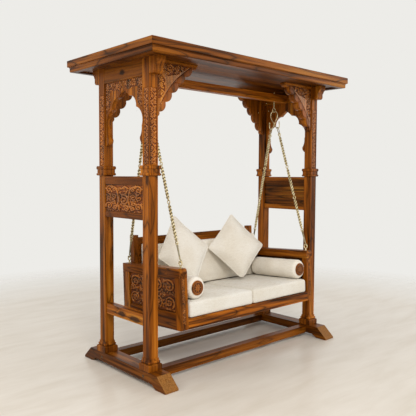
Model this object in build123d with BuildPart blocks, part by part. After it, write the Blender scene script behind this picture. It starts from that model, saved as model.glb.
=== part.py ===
from build123d import *
from math import acos, atan2, cos, degrees, hypot, radians, sin
import os

os.makedirs("parts", exist_ok=True)

# ---- driving dimensions, mm: X along the bench, -Y the front, Z up ----
# whole stand
height = 2130
post_x = 825            # post centres along the bench
post_y = 256            # post centres front to back
post_section = 69
fit_gap = 0.3           # clearance round tenons, grooves and loose boards
mortise_gap = 1.0       # extra depth beyond the end of a tenon

# sled feet and base
foot_length = 952
foot_top_length = 780
foot_width = 107
foot_height = 90
foot_toe = 12
foot_pad = 98           # length of each end pad that touches the floor
foot_notch = 26
foot_notch_run = 40
stretcher_section = 58
stretcher_y = 246
stretcher_bottom = 24
tenon = 25
base_bolt = 8
bolt_head = 20
bolt_head_height = 6
counterbore_depth = 9
barrel_nut = 15
barrel_nut_inset = 106  # from the foot's inner face to the barrel nut

# posts
plinth_height = 43
plinth_chamfer = 6
post_tenon = 40
post_tenon_depth = 24
base_torus = 90
base_torus_height = 19
base_neck = 78
base_neck_height = 14
collar_bottom = height - 802
collar_section = 98
collar_neck = 88
collar_low_torus_height = 18
collar_neck_height = 23
collar_high_torus_height = 25
torus_round = 8
carving_depth = 3
post_carving_width = 55
post_carving_bottom = height - 730
post_carving_top = height - 254

# side frames
rail_tenon_thickness = 22
lower_rail_bottom = 367
lower_rail_top = 437
lower_rail_width = 54
mid_rail_width = 59
mid_rail_inset = 2      # mid rails behind the posts' outer faces
mid_low_bottom = height - 1084
mid_low_top = height - 1045
mid_high_bottom = height - 860
mid_high_top = height - 806
groove_depth = 8
side_panel_thickness = 14
side_panel_inset = 5
inner_board_thickness = 10
inner_board_inset = 5
inner_board_count = 3
top_rail_bottom = height - 177
top_rail_width = 66

# cusped arch panels
arch_thickness = 38
arch_inset = 9
arch_foot = height - 600
arch_pendant_y = 180
arch_pendant_z = height - 558
arch_neck_y = 197
arch_neck_z = height - 526
arch_waist_y = 200
arch_waist_z = height - 485
arch_centre_z = height - 440
arch_low_cusp = (140, height - 362)
arch_high_cusp = (62, height - 285)
arch_ogee = (31, height - 259)
arch_apex = height - 240
arch_lobe_depth = 0.24  # lobe rise as a share of its chord

# canopy
roof_overhang = 130.5   # past the posts at each end
roof_eaves = 204.5      # past the posts at front and back
roof_thickness = 83
roof_lip = 11           # ceiling above the mouldings' undersides
moulding_width = 55
moulding_ease_x = 8
moulding_ease_z = 4
moulding_band = 43      # upper vertical band
moulding_cove = 9
moulding_lower_inset = 13
mitre_gap = 0.3
board_thickness = 12
board_gap = 0.4
roof_board_count = 4
roof_top_recess = 4
batten_width = 50
batten_count = 5

# hanger beam
beam_width = 54
beam_height = 61

# brackets and corbels
bracket_thickness = 45
bracket_centre_y = 257.5
bracket_reach = 329.5
bracket_foot_z = height - 430
bracket_notch_top = (290.5, height - 100)   # in from the post, and the level
bracket_notch_foot = (19.5, height - 399)
bracket_lobes = 5
bracket_bow = 13
bracket_lobe_depth = 0.26
cap_board_thickness = 14
corbel_reach = 80
corbel_low_reach = 54
corbel_tier = 57        # height of the upper tier
corbel_height = 101
corbel_lip = 22         # upright band at the top of the upper tier
corbel_slope = 20
corbel_chamfer = 12

# screws
screw_head = 8
screw_head_height = 3
screw_shank = 4
screw_length = 34
rail_screw = (16.5, 18)     # in from the post, and above the top rail's underside
arch_screw = (23.5, 48)     # in from the post, and below it
bracket_screw = (68.5, 67)

# suspension
pivot_z = height - 262  # lowest wire of the beam eyes, the swing's own axis
hang_x = 655
hook_wire = 8
eye_radius = 16
eye_shank_rise = 20     # above the hanger beam
washer_diameter = 22
washer_thickness = 2
nut_width = 14
nut_height = 8
thread_gap = 0.1
wire_gap = 0.3
hook_arc_radius = 37.9
hook_cross_z = pivot_z - 102
hook_bottom_z = pivot_z - 140
hook_seat_y = 36
hook_bend = 16
hook_tip_z = pivot_z - 83
strand_foot_y = 288
link_wire = 6
link_radius = 10
link_height = 44        # between wire centres
link_seat = 7.6         # hook wire centre to the link's top wire centre
bead_diameter = 22.5
bead_bore_gap = 0.2
top_bead_drop = 56.8    # below the hook's wire
bead_spacings = (282.2, 263.6)
foot_bead_rise = 119.9  # above the arm eye's wire
spigot = 8
rope_rod = 15
lower_rod = 9
lower_hook_radius = 8.5
lower_hook_wire = 7
lower_hook_turn = 285

# bench, in its own level frame before it hangs
hang_tilt = 3.19
bench_depth = 632
arm_outer_x = 694
arm_width = 68
bench_bottom = 319
arm_rail_bottom = bench_bottom + 338
arm_top = bench_bottom + 398
arm_front_stile = 45
arm_back_stile = 70
arm_round = 24
arm_low_rail_height = 111
arm_low_rail_width = 50
arm_panel_thickness = 14
arm_panel_inset = 10
bead_strip_width = 24
bead_strip_depth = 3
seat_rail_height = 69
seat_rail_thickness = 40
ledger_height = 20
ledger_width = 20
slat_thickness = 16
seat_slat_width = 90
seat_slat_count = 9
back_stile_inner_x = 582
back_stile_front_y = 271
back_top = bench_bottom + 593
back_rail_front_y = 274
back_rail_thickness = 40
back_rail_bottom = bench_bottom + 531
back_rail_top = bench_bottom + 574
back_seat_rail_height = 111
back_board_thickness = 30
back_board_count = 4
back_tenon = 12
arm_eye_radius = 15
arm_eye_rise = 32       # ring centre above the arm
arm_eye_flange = 20
arm_eye_screw = 6
arm_eye_screw_length = 30

# soft goods
seat_cushion_height = 112
seat_cushion_side = 610
seat_cushion_back_y = 266
seat_split_x = -7
seat_split_gap = 4
cushion_round = 14
back_cushion_front_y = 170
back_cushion_back_y = 273
back_cushion_half = 577
back_cushion_round = 22
bolster_diameter = 150
bolster_front_y = -300
bolster_back_y = 160
bolster_round = 20
left_bolster_x = -530
right_bolster_x = 550
bolster_disc = 98
bolster_disc_thickness = 6
soft_gap = 0.5
pillow_thickness = 100
pillow_rim = 16
pillow_shoulder = 76
pillow_lean = 16
left_pillow_side = 388
left_pillow_place = (-298, 94)
left_pillow_rise = 265.7    # middle above the seat cushions
left_pillow_turn = (6.8, -3.7)      # degrees about the upright and about its own thickness
right_pillow_side = 372
right_pillow_place = (249, 95)
right_pillow_rise = 255.1
right_pillow_turn = (-8.7, 2.6)

# ---- derived levels ----
roof_bottom = height - roof_thickness
ceiling_z = roof_bottom + roof_lip
half_post = post_section / 2
post_inner_x = post_x - half_post
post_outer_x = post_x + half_post
post_inner_y = post_y - half_post
post_outer_y = post_y + half_post
roof_length = 2 * (post_outer_x + roof_overhang)
roof_depth = 2 * (post_outer_y + roof_eaves)
foot_inner_x = post_x - foot_width / 2
foot_outer_x = post_x + foot_width / 2
stretcher_z = stretcher_bottom + stretcher_section / 2
plinth_top = foot_height + plinth_height
post_tenon_bottom = foot_height - post_tenon_depth
mid_rail_outer_x = post_outer_x - mid_rail_inset
mid_rail_inner_x = mid_rail_outer_x - mid_rail_width
arch_outer_x = post_outer_x - arch_inset
beam_top = top_rail_bottom + beam_height
top_rail_inner_x = post_x - top_rail_width / 2
arm_inner_x = arm_outer_x - arm_width
bench_y = bench_depth / 2
seat_top = bench_bottom + seat_rail_height
cushion_top = seat_top + seat_cushion_height
arm_eye_z = arm_top + arm_eye_rise
strand_foot_z = arm_eye_z + arm_eye_radius
sides = ((-1, "left"), (1, "right"))
ends = ((-1, "front"), (1, "back"))

# the bench, chains and hooks hang from the beam eyes, leaning until they balance
hang = Location((0, 0, pivot_z)) * Location((0, 0, 0), (-hang_tilt, 0, 0)) * Location((0, 0, -pivot_z))
hung = Plane(hang)


def block(x, y, z, mode=Mode.ADD):
    """A box between two limits on each axis."""
    with Locations(((x[0] + x[1]) / 2, (y[0] + y[1]) / 2, (z[0] + z[1]) / 2)):
        return Box(abs(x[1] - x[0]), abs(y[1] - y[0]), abs(z[1] - z[0]), mode=mode)


def rod(x, y, z, diameter, mode=Mode.ADD):
    """An upright round bar between two levels."""
    with Locations((x, y, (z[0] + z[1]) / 2)):
        return Cylinder(diameter / 2, abs(z[1] - z[0]), mode=mode)


def bar_along(axis, start, length, diameter, mode=Mode.ADD):
    """A round bar from a point along +-X or +-Y."""
    turn = (0, 90, 0) if axis == "X" else (90, 0, 0)
    shift = (length / 2, 0, 0) if axis == "X" else (0, length / 2, 0)
    with Locations((start[0] + shift[0], start[1] + shift[1], start[2])):
        return Cylinder(diameter / 2, abs(length), rotation=turn, mode=mode)


def placed(frame, plane):
    """A drawing plane carried along by a frame."""
    return Plane(frame * plane.location)


def span(middle, width):
    """The two limits of a width centred on a value."""
    return (middle - width / 2, middle + width / 2)


def lobes(points, centre, share):
    """Arcs through the points in turn, each bulging away from the centre."""
    for (u0, v0), (u1, v1) in zip(points, points[1:]):
        mid_u, mid_v = (u0 + u1) / 2, (v0 + v1) / 2
        away_u, away_v = v1 - v0, u0 - u1
        if away_u * (mid_u - centre[0]) + away_v * (mid_v - centre[1]) < 0:
            away_u, away_v = -away_u, -away_v
        ThreePointArc((u0, v0), (mid_u + share * away_u, mid_v + share * away_v), (u1, v1))


def save(part, name):
    """Names one piece and writes it."""
    part.label = name
    export_step(part, "parts/" + name + ".step")


# ---- sled feet ----
for side, word in sides:
    with BuildPart() as foot_beam:
        with BuildSketch(Plane.YZ.offset(side * post_x)):
            with BuildLine():
                Polyline(
                    (foot_length / 2, 0),
                    (foot_length / 2, foot_toe),
                    (foot_top_length / 2, foot_height),
                    (-foot_top_length / 2, foot_height),
                    (-foot_length / 2, foot_toe),
                    (-foot_length / 2, 0),
                    (foot_pad - foot_length / 2, 0),
                    (foot_pad + foot_notch_run - foot_length / 2, foot_notch),
                    (foot_length / 2 - foot_pad - foot_notch_run, foot_notch),
                    (foot_length / 2 - foot_pad, 0),
                    close=True,
                )
            make_face()
        extrude(amount=foot_width / 2, both=True)
        for end, _ in ends:
            block(
                span(side * post_x, post_tenon + 2 * fit_gap),
                span(end * post_y, post_tenon + 2 * fit_gap),
                (post_tenon_bottom - mortise_gap, foot_height),
                mode=Mode.SUBTRACT,
            )
            block(
                (side * foot_inner_x, side * (foot_inner_x + tenon + mortise_gap)),
                span(end * stretcher_y, stretcher_section / 2 + 2 * fit_gap),
                span(stretcher_z, stretcher_section / 2 + 2 * fit_gap),
                mode=Mode.SUBTRACT,
            )
            bolt_hole = (side * foot_outer_x, end * stretcher_y, stretcher_z)
            bar_along("X", bolt_hole, -side * foot_width, base_bolt + 2 * fit_gap, mode=Mode.SUBTRACT)
            bar_along("X", bolt_hole, -side * counterbore_depth, bolt_head + 4 * fit_gap, mode=Mode.SUBTRACT)
    save(foot_beam.part, word + "_foot_beam")

# ---- base stretchers with their bolts and barrel nuts ----
bolt_end_x = foot_inner_x - barrel_nut_inset - barrel_nut
for end, word in ends:
    with BuildPart() as stretcher:
        block(
            (-foot_inner_x, foot_inner_x),
            span(end * stretcher_y, stretcher_section),
            span(stretcher_z, stretcher_section),
        )
        block(
            (-foot_inner_x - tenon, foot_inner_x + tenon),
            span(end * stretcher_y, stretcher_section / 2),
            span(stretcher_z, stretcher_section / 2),
        )
        for side, _ in sides:
            start = (side * (foot_inner_x + tenon), end * stretcher_y, stretcher_z)
            bar_along(
                "X", start, side * (bolt_end_x - mortise_gap - foot_inner_x - tenon),
                base_bolt + 2 * fit_gap, mode=Mode.SUBTRACT,
            )
            rod(
                side * (foot_inner_x - barrel_nut_inset), end * stretcher_y,
                (stretcher_z - barrel_nut, stretcher_z + stretcher_section / 2),
                barrel_nut + 2 * fit_gap, mode=Mode.SUBTRACT,
            )
    save(stretcher.part, word + "_base_stretcher")

with BuildPart() as stretcher_bolts:
    for side, _ in sides:
        for end, _ in ends:
            y = end * stretcher_y
            nut_x = side * (foot_inner_x - barrel_nut_inset)
            rod(nut_x, y, (stretcher_z - barrel_nut + mortise_gap, stretcher_z + stretcher_section / 2 - 1), barrel_nut)
            bar_along(
                "X", (side * foot_outer_x, y, stretcher_z), side * (bolt_end_x - foot_outer_x),
                base_bolt + 2 * thread_gap, mode=Mode.SUBTRACT,
            )
            head_x = side * (foot_outer_x - counterbore_depth + bolt_head_height)
            bar_along("X", (head_x, y, stretcher_z), -side * bolt_head_height, bolt_head)
            bar_along("X", (head_x, y, stretcher_z), side * (bolt_end_x - side * head_x), base_bolt)
save(stretcher_bolts.part, "stretcher_bolts")

# ---- plinth blocks ----
with BuildPart() as plinth_blocks:
    for side, _ in sides:
        for end, _ in ends:
            block(
                span(side * post_x, foot_width), span(end * post_y, foot_width),
                (foot_height, plinth_top),
            )
    chamfer(plinth_blocks.faces().group_by(Axis.Z)[-1].edges(), plinth_chamfer)
    for side, _ in sides:
        for end, _ in ends:
            block(
                span(side * post_x, post_tenon + 2 * fit_gap),
                span(end * post_y, post_tenon + 2 * fit_gap),
                (foot_height, plinth_top), mode=Mode.SUBTRACT,
            )
save(plinth_blocks.part, "plinth_blocks")

# ---- posts ----
rail_levels = (
    (lower_rail_bottom, lower_rail_top, post_x),
    (mid_low_bottom, mid_low_top, mid_rail_outer_x - mid_rail_width / 2),
    (mid_high_bottom, mid_high_top, mid_rail_outer_x - mid_rail_width / 2),
    (top_rail_bottom, ceiling_z, post_x),
)
tenon_shoulder = 8      # rail depth left above and below its tenon
for side, side_word in sides:
    for end, end_word in ends:
        x, y = side * post_x, end * post_y
        neck_bottom = plinth_top + base_torus_height
        collar_neck_bottom = collar_bottom + collar_low_torus_height
        collar_high_bottom = collar_neck_bottom + collar_neck_height
        tori = ((collar_bottom, collar_low_torus_height), (collar_high_bottom, collar_high_torus_height))
        with BuildPart() as post:
            block(span(x, base_torus), span(y, base_torus), (plinth_top, neck_bottom))
            for level, depth in tori:
                block(span(x, collar_section), span(y, collar_section), (level, level + depth))
            fillet(post.edges().filter_by(Axis.Z, reverse=True), torus_round)
            block(span(x, base_neck), span(y, base_neck), (neck_bottom - 1, neck_bottom + base_neck_height))
            block(span(x, collar_neck), span(y, collar_neck), (collar_neck_bottom - 1, collar_high_bottom + 1))
            block(span(x, post_section), span(y, post_section), (plinth_top, ceiling_z))
            block(span(x, post_tenon), span(y, post_tenon), (post_tenon_bottom, plinth_top))
            for low, high, rail_x in rail_levels:
                block(
                    span(side * rail_x, rail_tenon_thickness + 2 * fit_gap),
                    (end * post_inner_y, end * (post_inner_y + tenon + mortise_gap)),
                    (low + tenon_shoulder - fit_gap, high - tenon_shoulder + fit_gap),
                    mode=Mode.SUBTRACT,
                )
            block(
                (side * (post_outer_x - carving_depth), side * post_outer_x),
                span(y, post_carving_width), (post_carving_bottom, post_carving_top),
                mode=Mode.SUBTRACT,
            )
            block(
                span(x, post_carving_width),
                (end * (post_outer_y - carving_depth), end * post_outer_y),
                (post_carving_bottom, post_carving_top), mode=Mode.SUBTRACT,
            )
        save(post.part, end_word + "_" + side_word + "_post")


def side_rail(x, low, high, width):
    """A rail between the two posts of one side, with a tenon at each end."""
    block(span(x, width), (-post_inner_y, post_inner_y), (low, high))
    block(
        span(x, rail_tenon_thickness), (-post_inner_y - tenon, post_inner_y + tenon),
        (low + tenon_shoulder, high - tenon_shoulder),
    )


def screw_points():
    """Heads and directions of the small screws on the inner faces."""
    found = []
    for side, _ in sides:
        for end, _ in ends:
            rail_y = end * (post_inner_y - rail_screw[0])
            arch_y = end * (post_inner_y - arch_screw[0])
            bracket_y = end * (bracket_centre_y - bracket_thickness / 2)
            found.append(((side * top_rail_inner_x, rail_y, top_rail_bottom + rail_screw[1]), "X", side))
            arch_x = side * (arch_outer_x - arch_thickness)
            found.append(((arch_x, arch_y, top_rail_bottom - arch_screw[1]), "X", side))
            bracket_x = side * (post_inner_x - bracket_screw[0])
            found.append(((bracket_x, bracket_y, top_rail_bottom - bracket_screw[1]), "Y", end))
    return found


def screw_holes(gap, mode):
    """Every screw, or with a gap the hole it sits in."""
    for start, axis, way in screw_points():
        bar_along(axis, start, way * (screw_head_height + gap), screw_head + 2 * gap, mode=mode)
        bar_along(axis, start, way * (screw_length + gap), screw_shank + 2 * gap, mode=mode)


# ---- side rails ----
with BuildPart() as lower_side_rails:
    for side, _ in sides:
        side_rail(side * post_x, lower_rail_bottom, lower_rail_top, lower_rail_width)
save(lower_side_rails.part, "lower_side_rails")

side_panel_outer_x = mid_rail_outer_x - side_panel_inset
inner_board_inner_x = mid_rail_inner_x + inner_board_inset
with BuildPart() as mid_side_rails:
    for side, _ in sides:
        rail_x = side * (mid_rail_outer_x - mid_rail_width / 2)
        side_rail(rail_x, mid_low_bottom, mid_low_top, mid_rail_width)
        side_rail(rail_x, mid_high_bottom, mid_high_top, mid_rail_width)
        block(
            (
                side * (side_panel_outer_x + fit_gap),
                side * (side_panel_outer_x - side_panel_thickness - fit_gap),
            ),
            (-post_inner_y, post_inner_y),
            (mid_low_top - groove_depth - fit_gap, mid_high_bottom + groove_depth + fit_gap),
            mode=Mode.SUBTRACT,
        )
        block(
            (
                side * (inner_board_inner_x - fit_gap),
                side * (inner_board_inner_x + inner_board_thickness + fit_gap),
            ),
            (-post_inner_y, post_inner_y),
            (mid_low_top - groove_depth - fit_gap, mid_high_bottom + groove_depth + fit_gap),
            mode=Mode.SUBTRACT,
        )
save(mid_side_rails.part, "mid_side_rails")

with BuildPart() as side_carved_panels:
    for side, _ in sides:
        block(
            (side * (side_panel_outer_x - side_panel_thickness), side * side_panel_outer_x),
            (fit_gap - post_inner_y, post_inner_y - fit_gap),
            (mid_low_top - groove_depth, mid_high_bottom + groove_depth),
        )
save(side_carved_panels.part, "side_carved_panels")

with BuildPart() as inner_panel_boards:
    low, high = mid_low_top - groove_depth, mid_high_bottom + groove_depth
    board = (high - low) / inner_board_count
    for side, _ in sides:
        for n in range(inner_board_count):
            block(
                (side * inner_board_inner_x, side * (inner_board_inner_x + inner_board_thickness)),
                (fit_gap - post_inner_y, post_inner_y - fit_gap),
                (low + n * board + board_gap / 2, low + (n + 1) * board - board_gap / 2),
            )
save(inner_panel_boards.part, "inner_panel_boards")

# ---- cusped arch panels ----
arch_edge = post_inner_y - fit_gap
for side, word in sides:
    with BuildPart() as arch_panel:
        with BuildSketch(Plane.YZ.offset(side * (arch_outer_x - arch_thickness / 2))):
            with BuildLine():
                Line((-arch_edge, top_rail_bottom), (arch_edge, top_rail_bottom))
                for way in (-1, 1):
                    Line((way * arch_edge, top_rail_bottom), (way * arch_edge, arch_foot))
                    ThreePointArc(
                        (way * arch_edge, arch_foot),
                        (way * (arch_pendant_y + 13), arch_foot + 10),
                        (way * arch_pendant_y, arch_pendant_z),
                    )
                    ThreePointArc(
                        (way * arch_pendant_y, arch_pendant_z),
                        (way * arch_neck_y, arch_neck_z), (way * arch_waist_y, arch_waist_z),
                    )
                    springing = ((arch_waist_y, arch_waist_z), arch_low_cusp, arch_high_cusp)
                    lobes([(way * u, v) for u, v in springing], (0, arch_centre_z), arch_lobe_depth)
                    ThreePointArc(
                        (way * arch_high_cusp[0], arch_high_cusp[1]),
                        (way * arch_ogee[0], arch_ogee[1]), (0, arch_apex),
                    )
            make_face()
        extrude(amount=arch_thickness / 2, both=True)
        screw_holes(fit_gap, Mode.SUBTRACT)
    save(arch_panel.part, word + "_arch_panel")

# ---- side top rails and hanger beam ----
with BuildPart() as side_top_rails:
    for side, _ in sides:
        side_rail(side * post_x, top_rail_bottom, ceiling_z, top_rail_width)
        block(
            (side * top_rail_inner_x, side * (top_rail_inner_x + tenon + mortise_gap)),
            span(0, beam_width / 2 + 2 * fit_gap),
            (top_rail_bottom + tenon_shoulder - fit_gap, beam_top - tenon_shoulder + fit_gap),
            mode=Mode.SUBTRACT,
        )
    screw_holes(fit_gap, Mode.SUBTRACT)
save(side_top_rails.part, "side_top_rails")

with BuildPart() as hanger_beam:
    block((-top_rail_inner_x, top_rail_inner_x), span(0, beam_width), (top_rail_bottom, beam_top))
    block(
        (-top_rail_inner_x - tenon, top_rail_inner_x + tenon), span(0, beam_width / 2),
        (top_rail_bottom + tenon_shoulder, beam_top - tenon_shoulder),
    )
    for side, _ in sides:
        rod(side * hang_x, 0, (top_rail_bottom, beam_top), hook_wire + 2 * fit_gap, mode=Mode.SUBTRACT)
save(hanger_beam.part, "hanger_beam")

# ---- beam eye bolts, washers and nuts ----
eye_z = pivot_z + eye_radius
with BuildPart() as beam_eye_bolts:
    for side, _ in sides:
        x = side * hang_x
        washer_top = beam_top + washer_thickness
        rod(x, 0, (beam_top, washer_top), washer_diameter)
        with BuildSketch(Plane.XY.offset(washer_top + thread_gap)):
            with Locations((x, 0)):
                RegularPolygon(nut_width / 2, 6, major_radius=False)
        extrude(amount=nut_height)
        rod(x, 0, (beam_top, washer_top + nut_height + 1), hook_wire + 2 * thread_gap, mode=Mode.SUBTRACT)
        rod(x, 0, (eye_z + eye_radius, beam_top + eye_shank_rise), hook_wire)
        rod(x, 0, (top_rail_bottom - 3, top_rail_bottom), 2 * hook_wire)
        with Locations((x, 0, eye_z)):
            Torus(eye_radius, hook_wire / 2, rotation=(90, 0, 0))
save(beam_eye_bolts.part, "beam_eye_bolts")

# ---- brackets between posts and canopy ----
cap_bottom = ceiling_z - cap_board_thickness
notch_x = post_inner_x - bracket_notch_top[0]
run_u = bracket_notch_top[0] - bracket_notch_foot[0]
run_v = bracket_notch_foot[1] - bracket_notch_top[1]
run = hypot(run_u, run_v)
notches = [(post_inner_x - bracket_reach, cap_bottom)]
for n in range(bracket_lobes + 1):
    t = n / bracket_lobes
    bow = 4 * bracket_bow * t * (1 - t)
    notches.append((
        notch_x + t * run_u - bow * run_v / run,
        bracket_notch_top[1] + t * run_v + bow * run_u / run,
    ))
notches.append((post_inner_x, bracket_foot_z))
for side, side_word in sides:
    for end, end_word in ends:
        with BuildPart() as bracket:
            with BuildSketch(Plane.XZ.offset(-end * bracket_centre_y)):
                with BuildLine():
                    Polyline(
                        (side * notches[0][0], cap_bottom),
                        (side * post_inner_x, cap_bottom),
                        (side * post_inner_x, bracket_foot_z),
                    )
                    lobes([(side * u, v) for u, v in notches], (side * post_inner_x, cap_bottom), bracket_lobe_depth)
                make_face()
            extrude(amount=bracket_thickness / 2, both=True)
            screw_holes(fit_gap, Mode.SUBTRACT)
        save(bracket.part, end_word + "_" + side_word + "_bracket")

with BuildPart() as bracket_cap_boards:
    for side, _ in sides:
        for end, _ in ends:
            block(
                (side * (notches[0][0] - 6), side * post_inner_x),
                span(end * bracket_centre_y, bracket_thickness + 8), (cap_bottom, ceiling_z),
            )
save(bracket_cap_boards.part, "bracket_cap_boards")

corbel_profile = (
    (0, 0), (corbel_reach, 0), (corbel_reach, corbel_lip),
    (corbel_reach - corbel_slope, corbel_tier - 2 * corbel_chamfer / 3),
    (corbel_reach - corbel_slope, corbel_tier), (corbel_low_reach, corbel_tier),
    (corbel_low_reach, corbel_height - corbel_chamfer),
    (corbel_low_reach - corbel_chamfer, corbel_height), (0, corbel_height),
)
with BuildPart() as corbels:
    for side, _ in sides:
        for end, _ in ends:
            with BuildSketch(Plane.YZ.offset(side * post_x)):
                with BuildLine():
                    Polyline(
                        *[(end * (post_outer_y + reach), ceiling_z - drop) for reach, drop in corbel_profile],
                        close=True,
                    )
                make_face()
            extrude(amount=post_section / 2, both=True)
save(corbels.part, "corbels")


# ---- canopy ----
def roof_moulding(length, reach):
    """One edge moulding along X, its face at y = -reach, mitred at both ends."""
    groove_z = height - moulding_ease_z - moulding_band
    with BuildPart() as moulding:
        with BuildSketch(Plane.YZ):
            with BuildLine():
                Polyline(
                    (-reach, groove_z),
                    (-reach, height - moulding_ease_z),
                    (moulding_ease_x - reach, height),
                    (moulding_width - reach, height),
                    (moulding_width - reach, roof_bottom),
                    (moulding_lower_inset + 4 - reach, roof_bottom),
                    (moulding_lower_inset - reach, roof_bottom + 5),
                    (moulding_lower_inset - reach, groove_z - moulding_cove),
                )
                ThreePointArc(
                    (moulding_lower_inset - reach, groove_z - moulding_cove),
                    (2 * moulding_lower_inset / 3 - reach, groove_z - moulding_cove / 3), (-reach, groove_z),
                )
            make_face()
        extrude(amount=length / 2, both=True)
        with BuildSketch(Plane.XY.offset(roof_bottom)):
            with BuildLine():
                Polyline(
                    (mitre_gap - length / 2, -reach),
                    (length / 2 - mitre_gap, -reach),
                    (length / 2 - mitre_gap - moulding_width, moulding_width - reach),
                    (mitre_gap - length / 2 + moulding_width, moulding_width - reach),
                    close=True,
                )
            make_face()
        extrude(amount=roof_thickness, mode=Mode.INTERSECT)
    return moulding.part


with BuildPart() as canopy_mouldings:
    for turn in (0, 180):
        with Locations(Location((0, 0, 0), (0, 0, turn))):
            add(roof_moulding(roof_length, roof_depth / 2))
        with Locations(Location((0, 0, 0), (0, 0, turn + 90))):
            add(roof_moulding(roof_depth, roof_length / 2))
save(canopy_mouldings.part, "canopy_mouldings")

inner_x = roof_length / 2 - moulding_width - fit_gap
inner_y = roof_depth / 2 - moulding_width - fit_gap
top_boards_z = height - roof_top_recess - board_thickness
roof_board = 2 * inner_y / roof_board_count
for low, name in ((ceiling_z, "ceiling_boards"), (top_boards_z, "roof_top_boards")):
    with BuildPart() as boards:
        for n in range(roof_board_count):
            block(
                (-inner_x, inner_x),
                (n * roof_board - inner_y + board_gap / 2, (n + 1) * roof_board - inner_y - board_gap / 2),
                (low, low + board_thickness),
            )
    save(boards.part, name)

with BuildPart() as roof_battens:
    for n in range(batten_count):
        x = (n - (batten_count - 1) / 2) * 2 * (inner_x - batten_width) / (batten_count - 1)
        block(span(x, batten_width), (-inner_y, inner_y), (ceiling_z + board_thickness, top_boards_z))
save(roof_battens.part, "roof_battens")

with BuildPart() as frame_screws:
    screw_holes(0, Mode.ADD)
save(frame_screws.part, "frame_screws")

# ---- double hooks ----
cross_drop = pivot_z + hook_wire + wire_gap - hook_arc_radius - hook_cross_z
arc_centre_z = hook_cross_z + cross_drop
open_angle = degrees(acos(hook_arc_radius / cross_drop))
leave = (hook_arc_radius * sin(radians(open_angle)), arc_centre_z - hook_arc_radius * cos(radians(open_angle)))
turn_in_y = (hook_cross_z - hook_bottom_z) * leave[0] / (leave[1] - hook_cross_z)
turn_up_y = hook_seat_y + 1.1 * hook_bend
for side, word in sides:
    with BuildPart() as double_hook:
        for way in (1, -1):
            with BuildLine(placed(hang, Plane.YZ.offset(side * hang_x))) as bend:
                CenterArc((0, arc_centre_z), hook_arc_radius, 90, -way * (180 - open_angle))
                FilletPolyline(
                    (way * leave[0], leave[1]),
                    (-way * turn_in_y, hook_bottom_z),
                    (-way * turn_up_y, hook_bottom_z),
                    (-way * (turn_up_y - 2), hook_tip_z),
                    radius=hook_bend,
                )
            path = bend.wire()
            with BuildSketch(Plane(origin=path @ 0, z_dir=path % 0)):
                Circle(hook_wire / 2)
            sweep(path=path)
    save(double_hook.part, word + "_double_hook")

# ---- chains ----
strand_drop = hook_bottom_z - strand_foot_z
strand_spread = strand_foot_y - hook_seat_y
strand_length = hypot(strand_drop, strand_spread)
strand_lean = degrees(atan2(strand_spread, strand_drop))
half_bead = bead_diameter / 2
bead_drops = (
    top_bead_drop, top_bead_drop + bead_spacings[0], top_bead_drop + sum(bead_spacings),
    strand_length - foot_bead_rise,
)


def strand_frame(side, end):
    """Origin on the hook's wire, -Z running down one strand."""
    return hang * Location((side * hang_x, end * hook_seat_y, hook_bottom_z), (end * strand_lean, 0, 0))


as_drawn = (Align.NONE, Align.NONE, Align.NONE)
link_high_z = link_seat - link_radius
link_low_z = link_seat - link_height + link_radius
link_foot_z = link_seat - link_height
rod_top_z = -bead_drops[-1] - half_bead
hook_top_z = lower_hook_radius - strand_length
for side, word in sides:
    with BuildPart() as end_links:
        for end, _ in ends:
            frame = strand_frame(side, end)
            for middle_z, start in ((link_high_z, 0), (link_low_z, 180)):
                with Locations(frame * Location((0, 0, middle_z), (90, 0, 0)) * Location((0, 0, 0), (0, 0, start))):
                    Torus(link_radius, link_wire / 2, major_angle=180, align=as_drawn)
            curl = frame * Location((0, 0, -strand_length), (90, 0, 0))
            with Locations(curl * Location((0, 0, 0), (0, 0, 90 - lower_hook_turn))):
                Torus(lower_hook_radius, lower_hook_wire / 2, major_angle=lower_hook_turn, align=as_drawn)
            with Locations(frame):
                with Locations(
                    (-link_radius, 0, (link_high_z + link_low_z) / 2), (link_radius, 0, (link_high_z + link_low_z) / 2)
                ):
                    Cylinder(link_wire / 2, link_high_z - link_low_z)
                with Locations((0, 0, (link_foot_z - bead_drops[0]) / 2)):
                    Cylinder(spigot / 2, bead_drops[0] + link_foot_z)
                with Locations((0, 0, (rod_top_z + hook_top_z) / 2)):
                    Cylinder(lower_rod / 2, rod_top_z - hook_top_z)
                with Locations((0, 0, rod_top_z + (half_bead - 1) / 2)):
                    Cylinder(spigot / 2, half_bead - 1)
    save(end_links.part, word + "_chain_end_links")

    with BuildPart() as rods:
        for end, _ in ends:
            for above, below in zip(bead_drops, bead_drops[1:]):
                with Locations(strand_frame(side, end)):
                    with Locations((0, 0, -(above + below) / 2)):
                        Cylinder(rope_rod / 2, below - above - bead_diameter - 2 * bead_bore_gap)
                        Cylinder(spigot / 2, below - above - 1)
    save(rods.part, word + "_chain_rods")

    with BuildPart() as beads:
        for end, _ in ends:
            for drop in bead_drops:
                with Locations(strand_frame(side, end)):
                    with Locations((0, 0, -drop)):
                        Sphere(half_bead)
                        Cylinder(spigot / 2 + bead_bore_gap, bead_diameter, mode=Mode.SUBTRACT)
    save(beads.part, word + "_chain_beads")

# ---- arm eyes ----
with BuildPart(hung) as arm_eyes:
    for side, _ in sides:
        for end, _ in ends:
            x, y = side * hang_x, end * strand_foot_y
            with Locations((x, y, arm_eye_z)):
                Torus(arm_eye_radius, hook_wire / 2, rotation=(0, 90, 0))
            rod(x, y, (arm_top, arm_eye_z - arm_eye_radius), hook_wire + 2)
            rod(x, y, (arm_top, arm_top + 3), arm_eye_flange)
            rod(x, y, (arm_top - arm_eye_screw_length, arm_top), arm_eye_screw)
save(arm_eyes.part, "arm_eyes")

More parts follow.
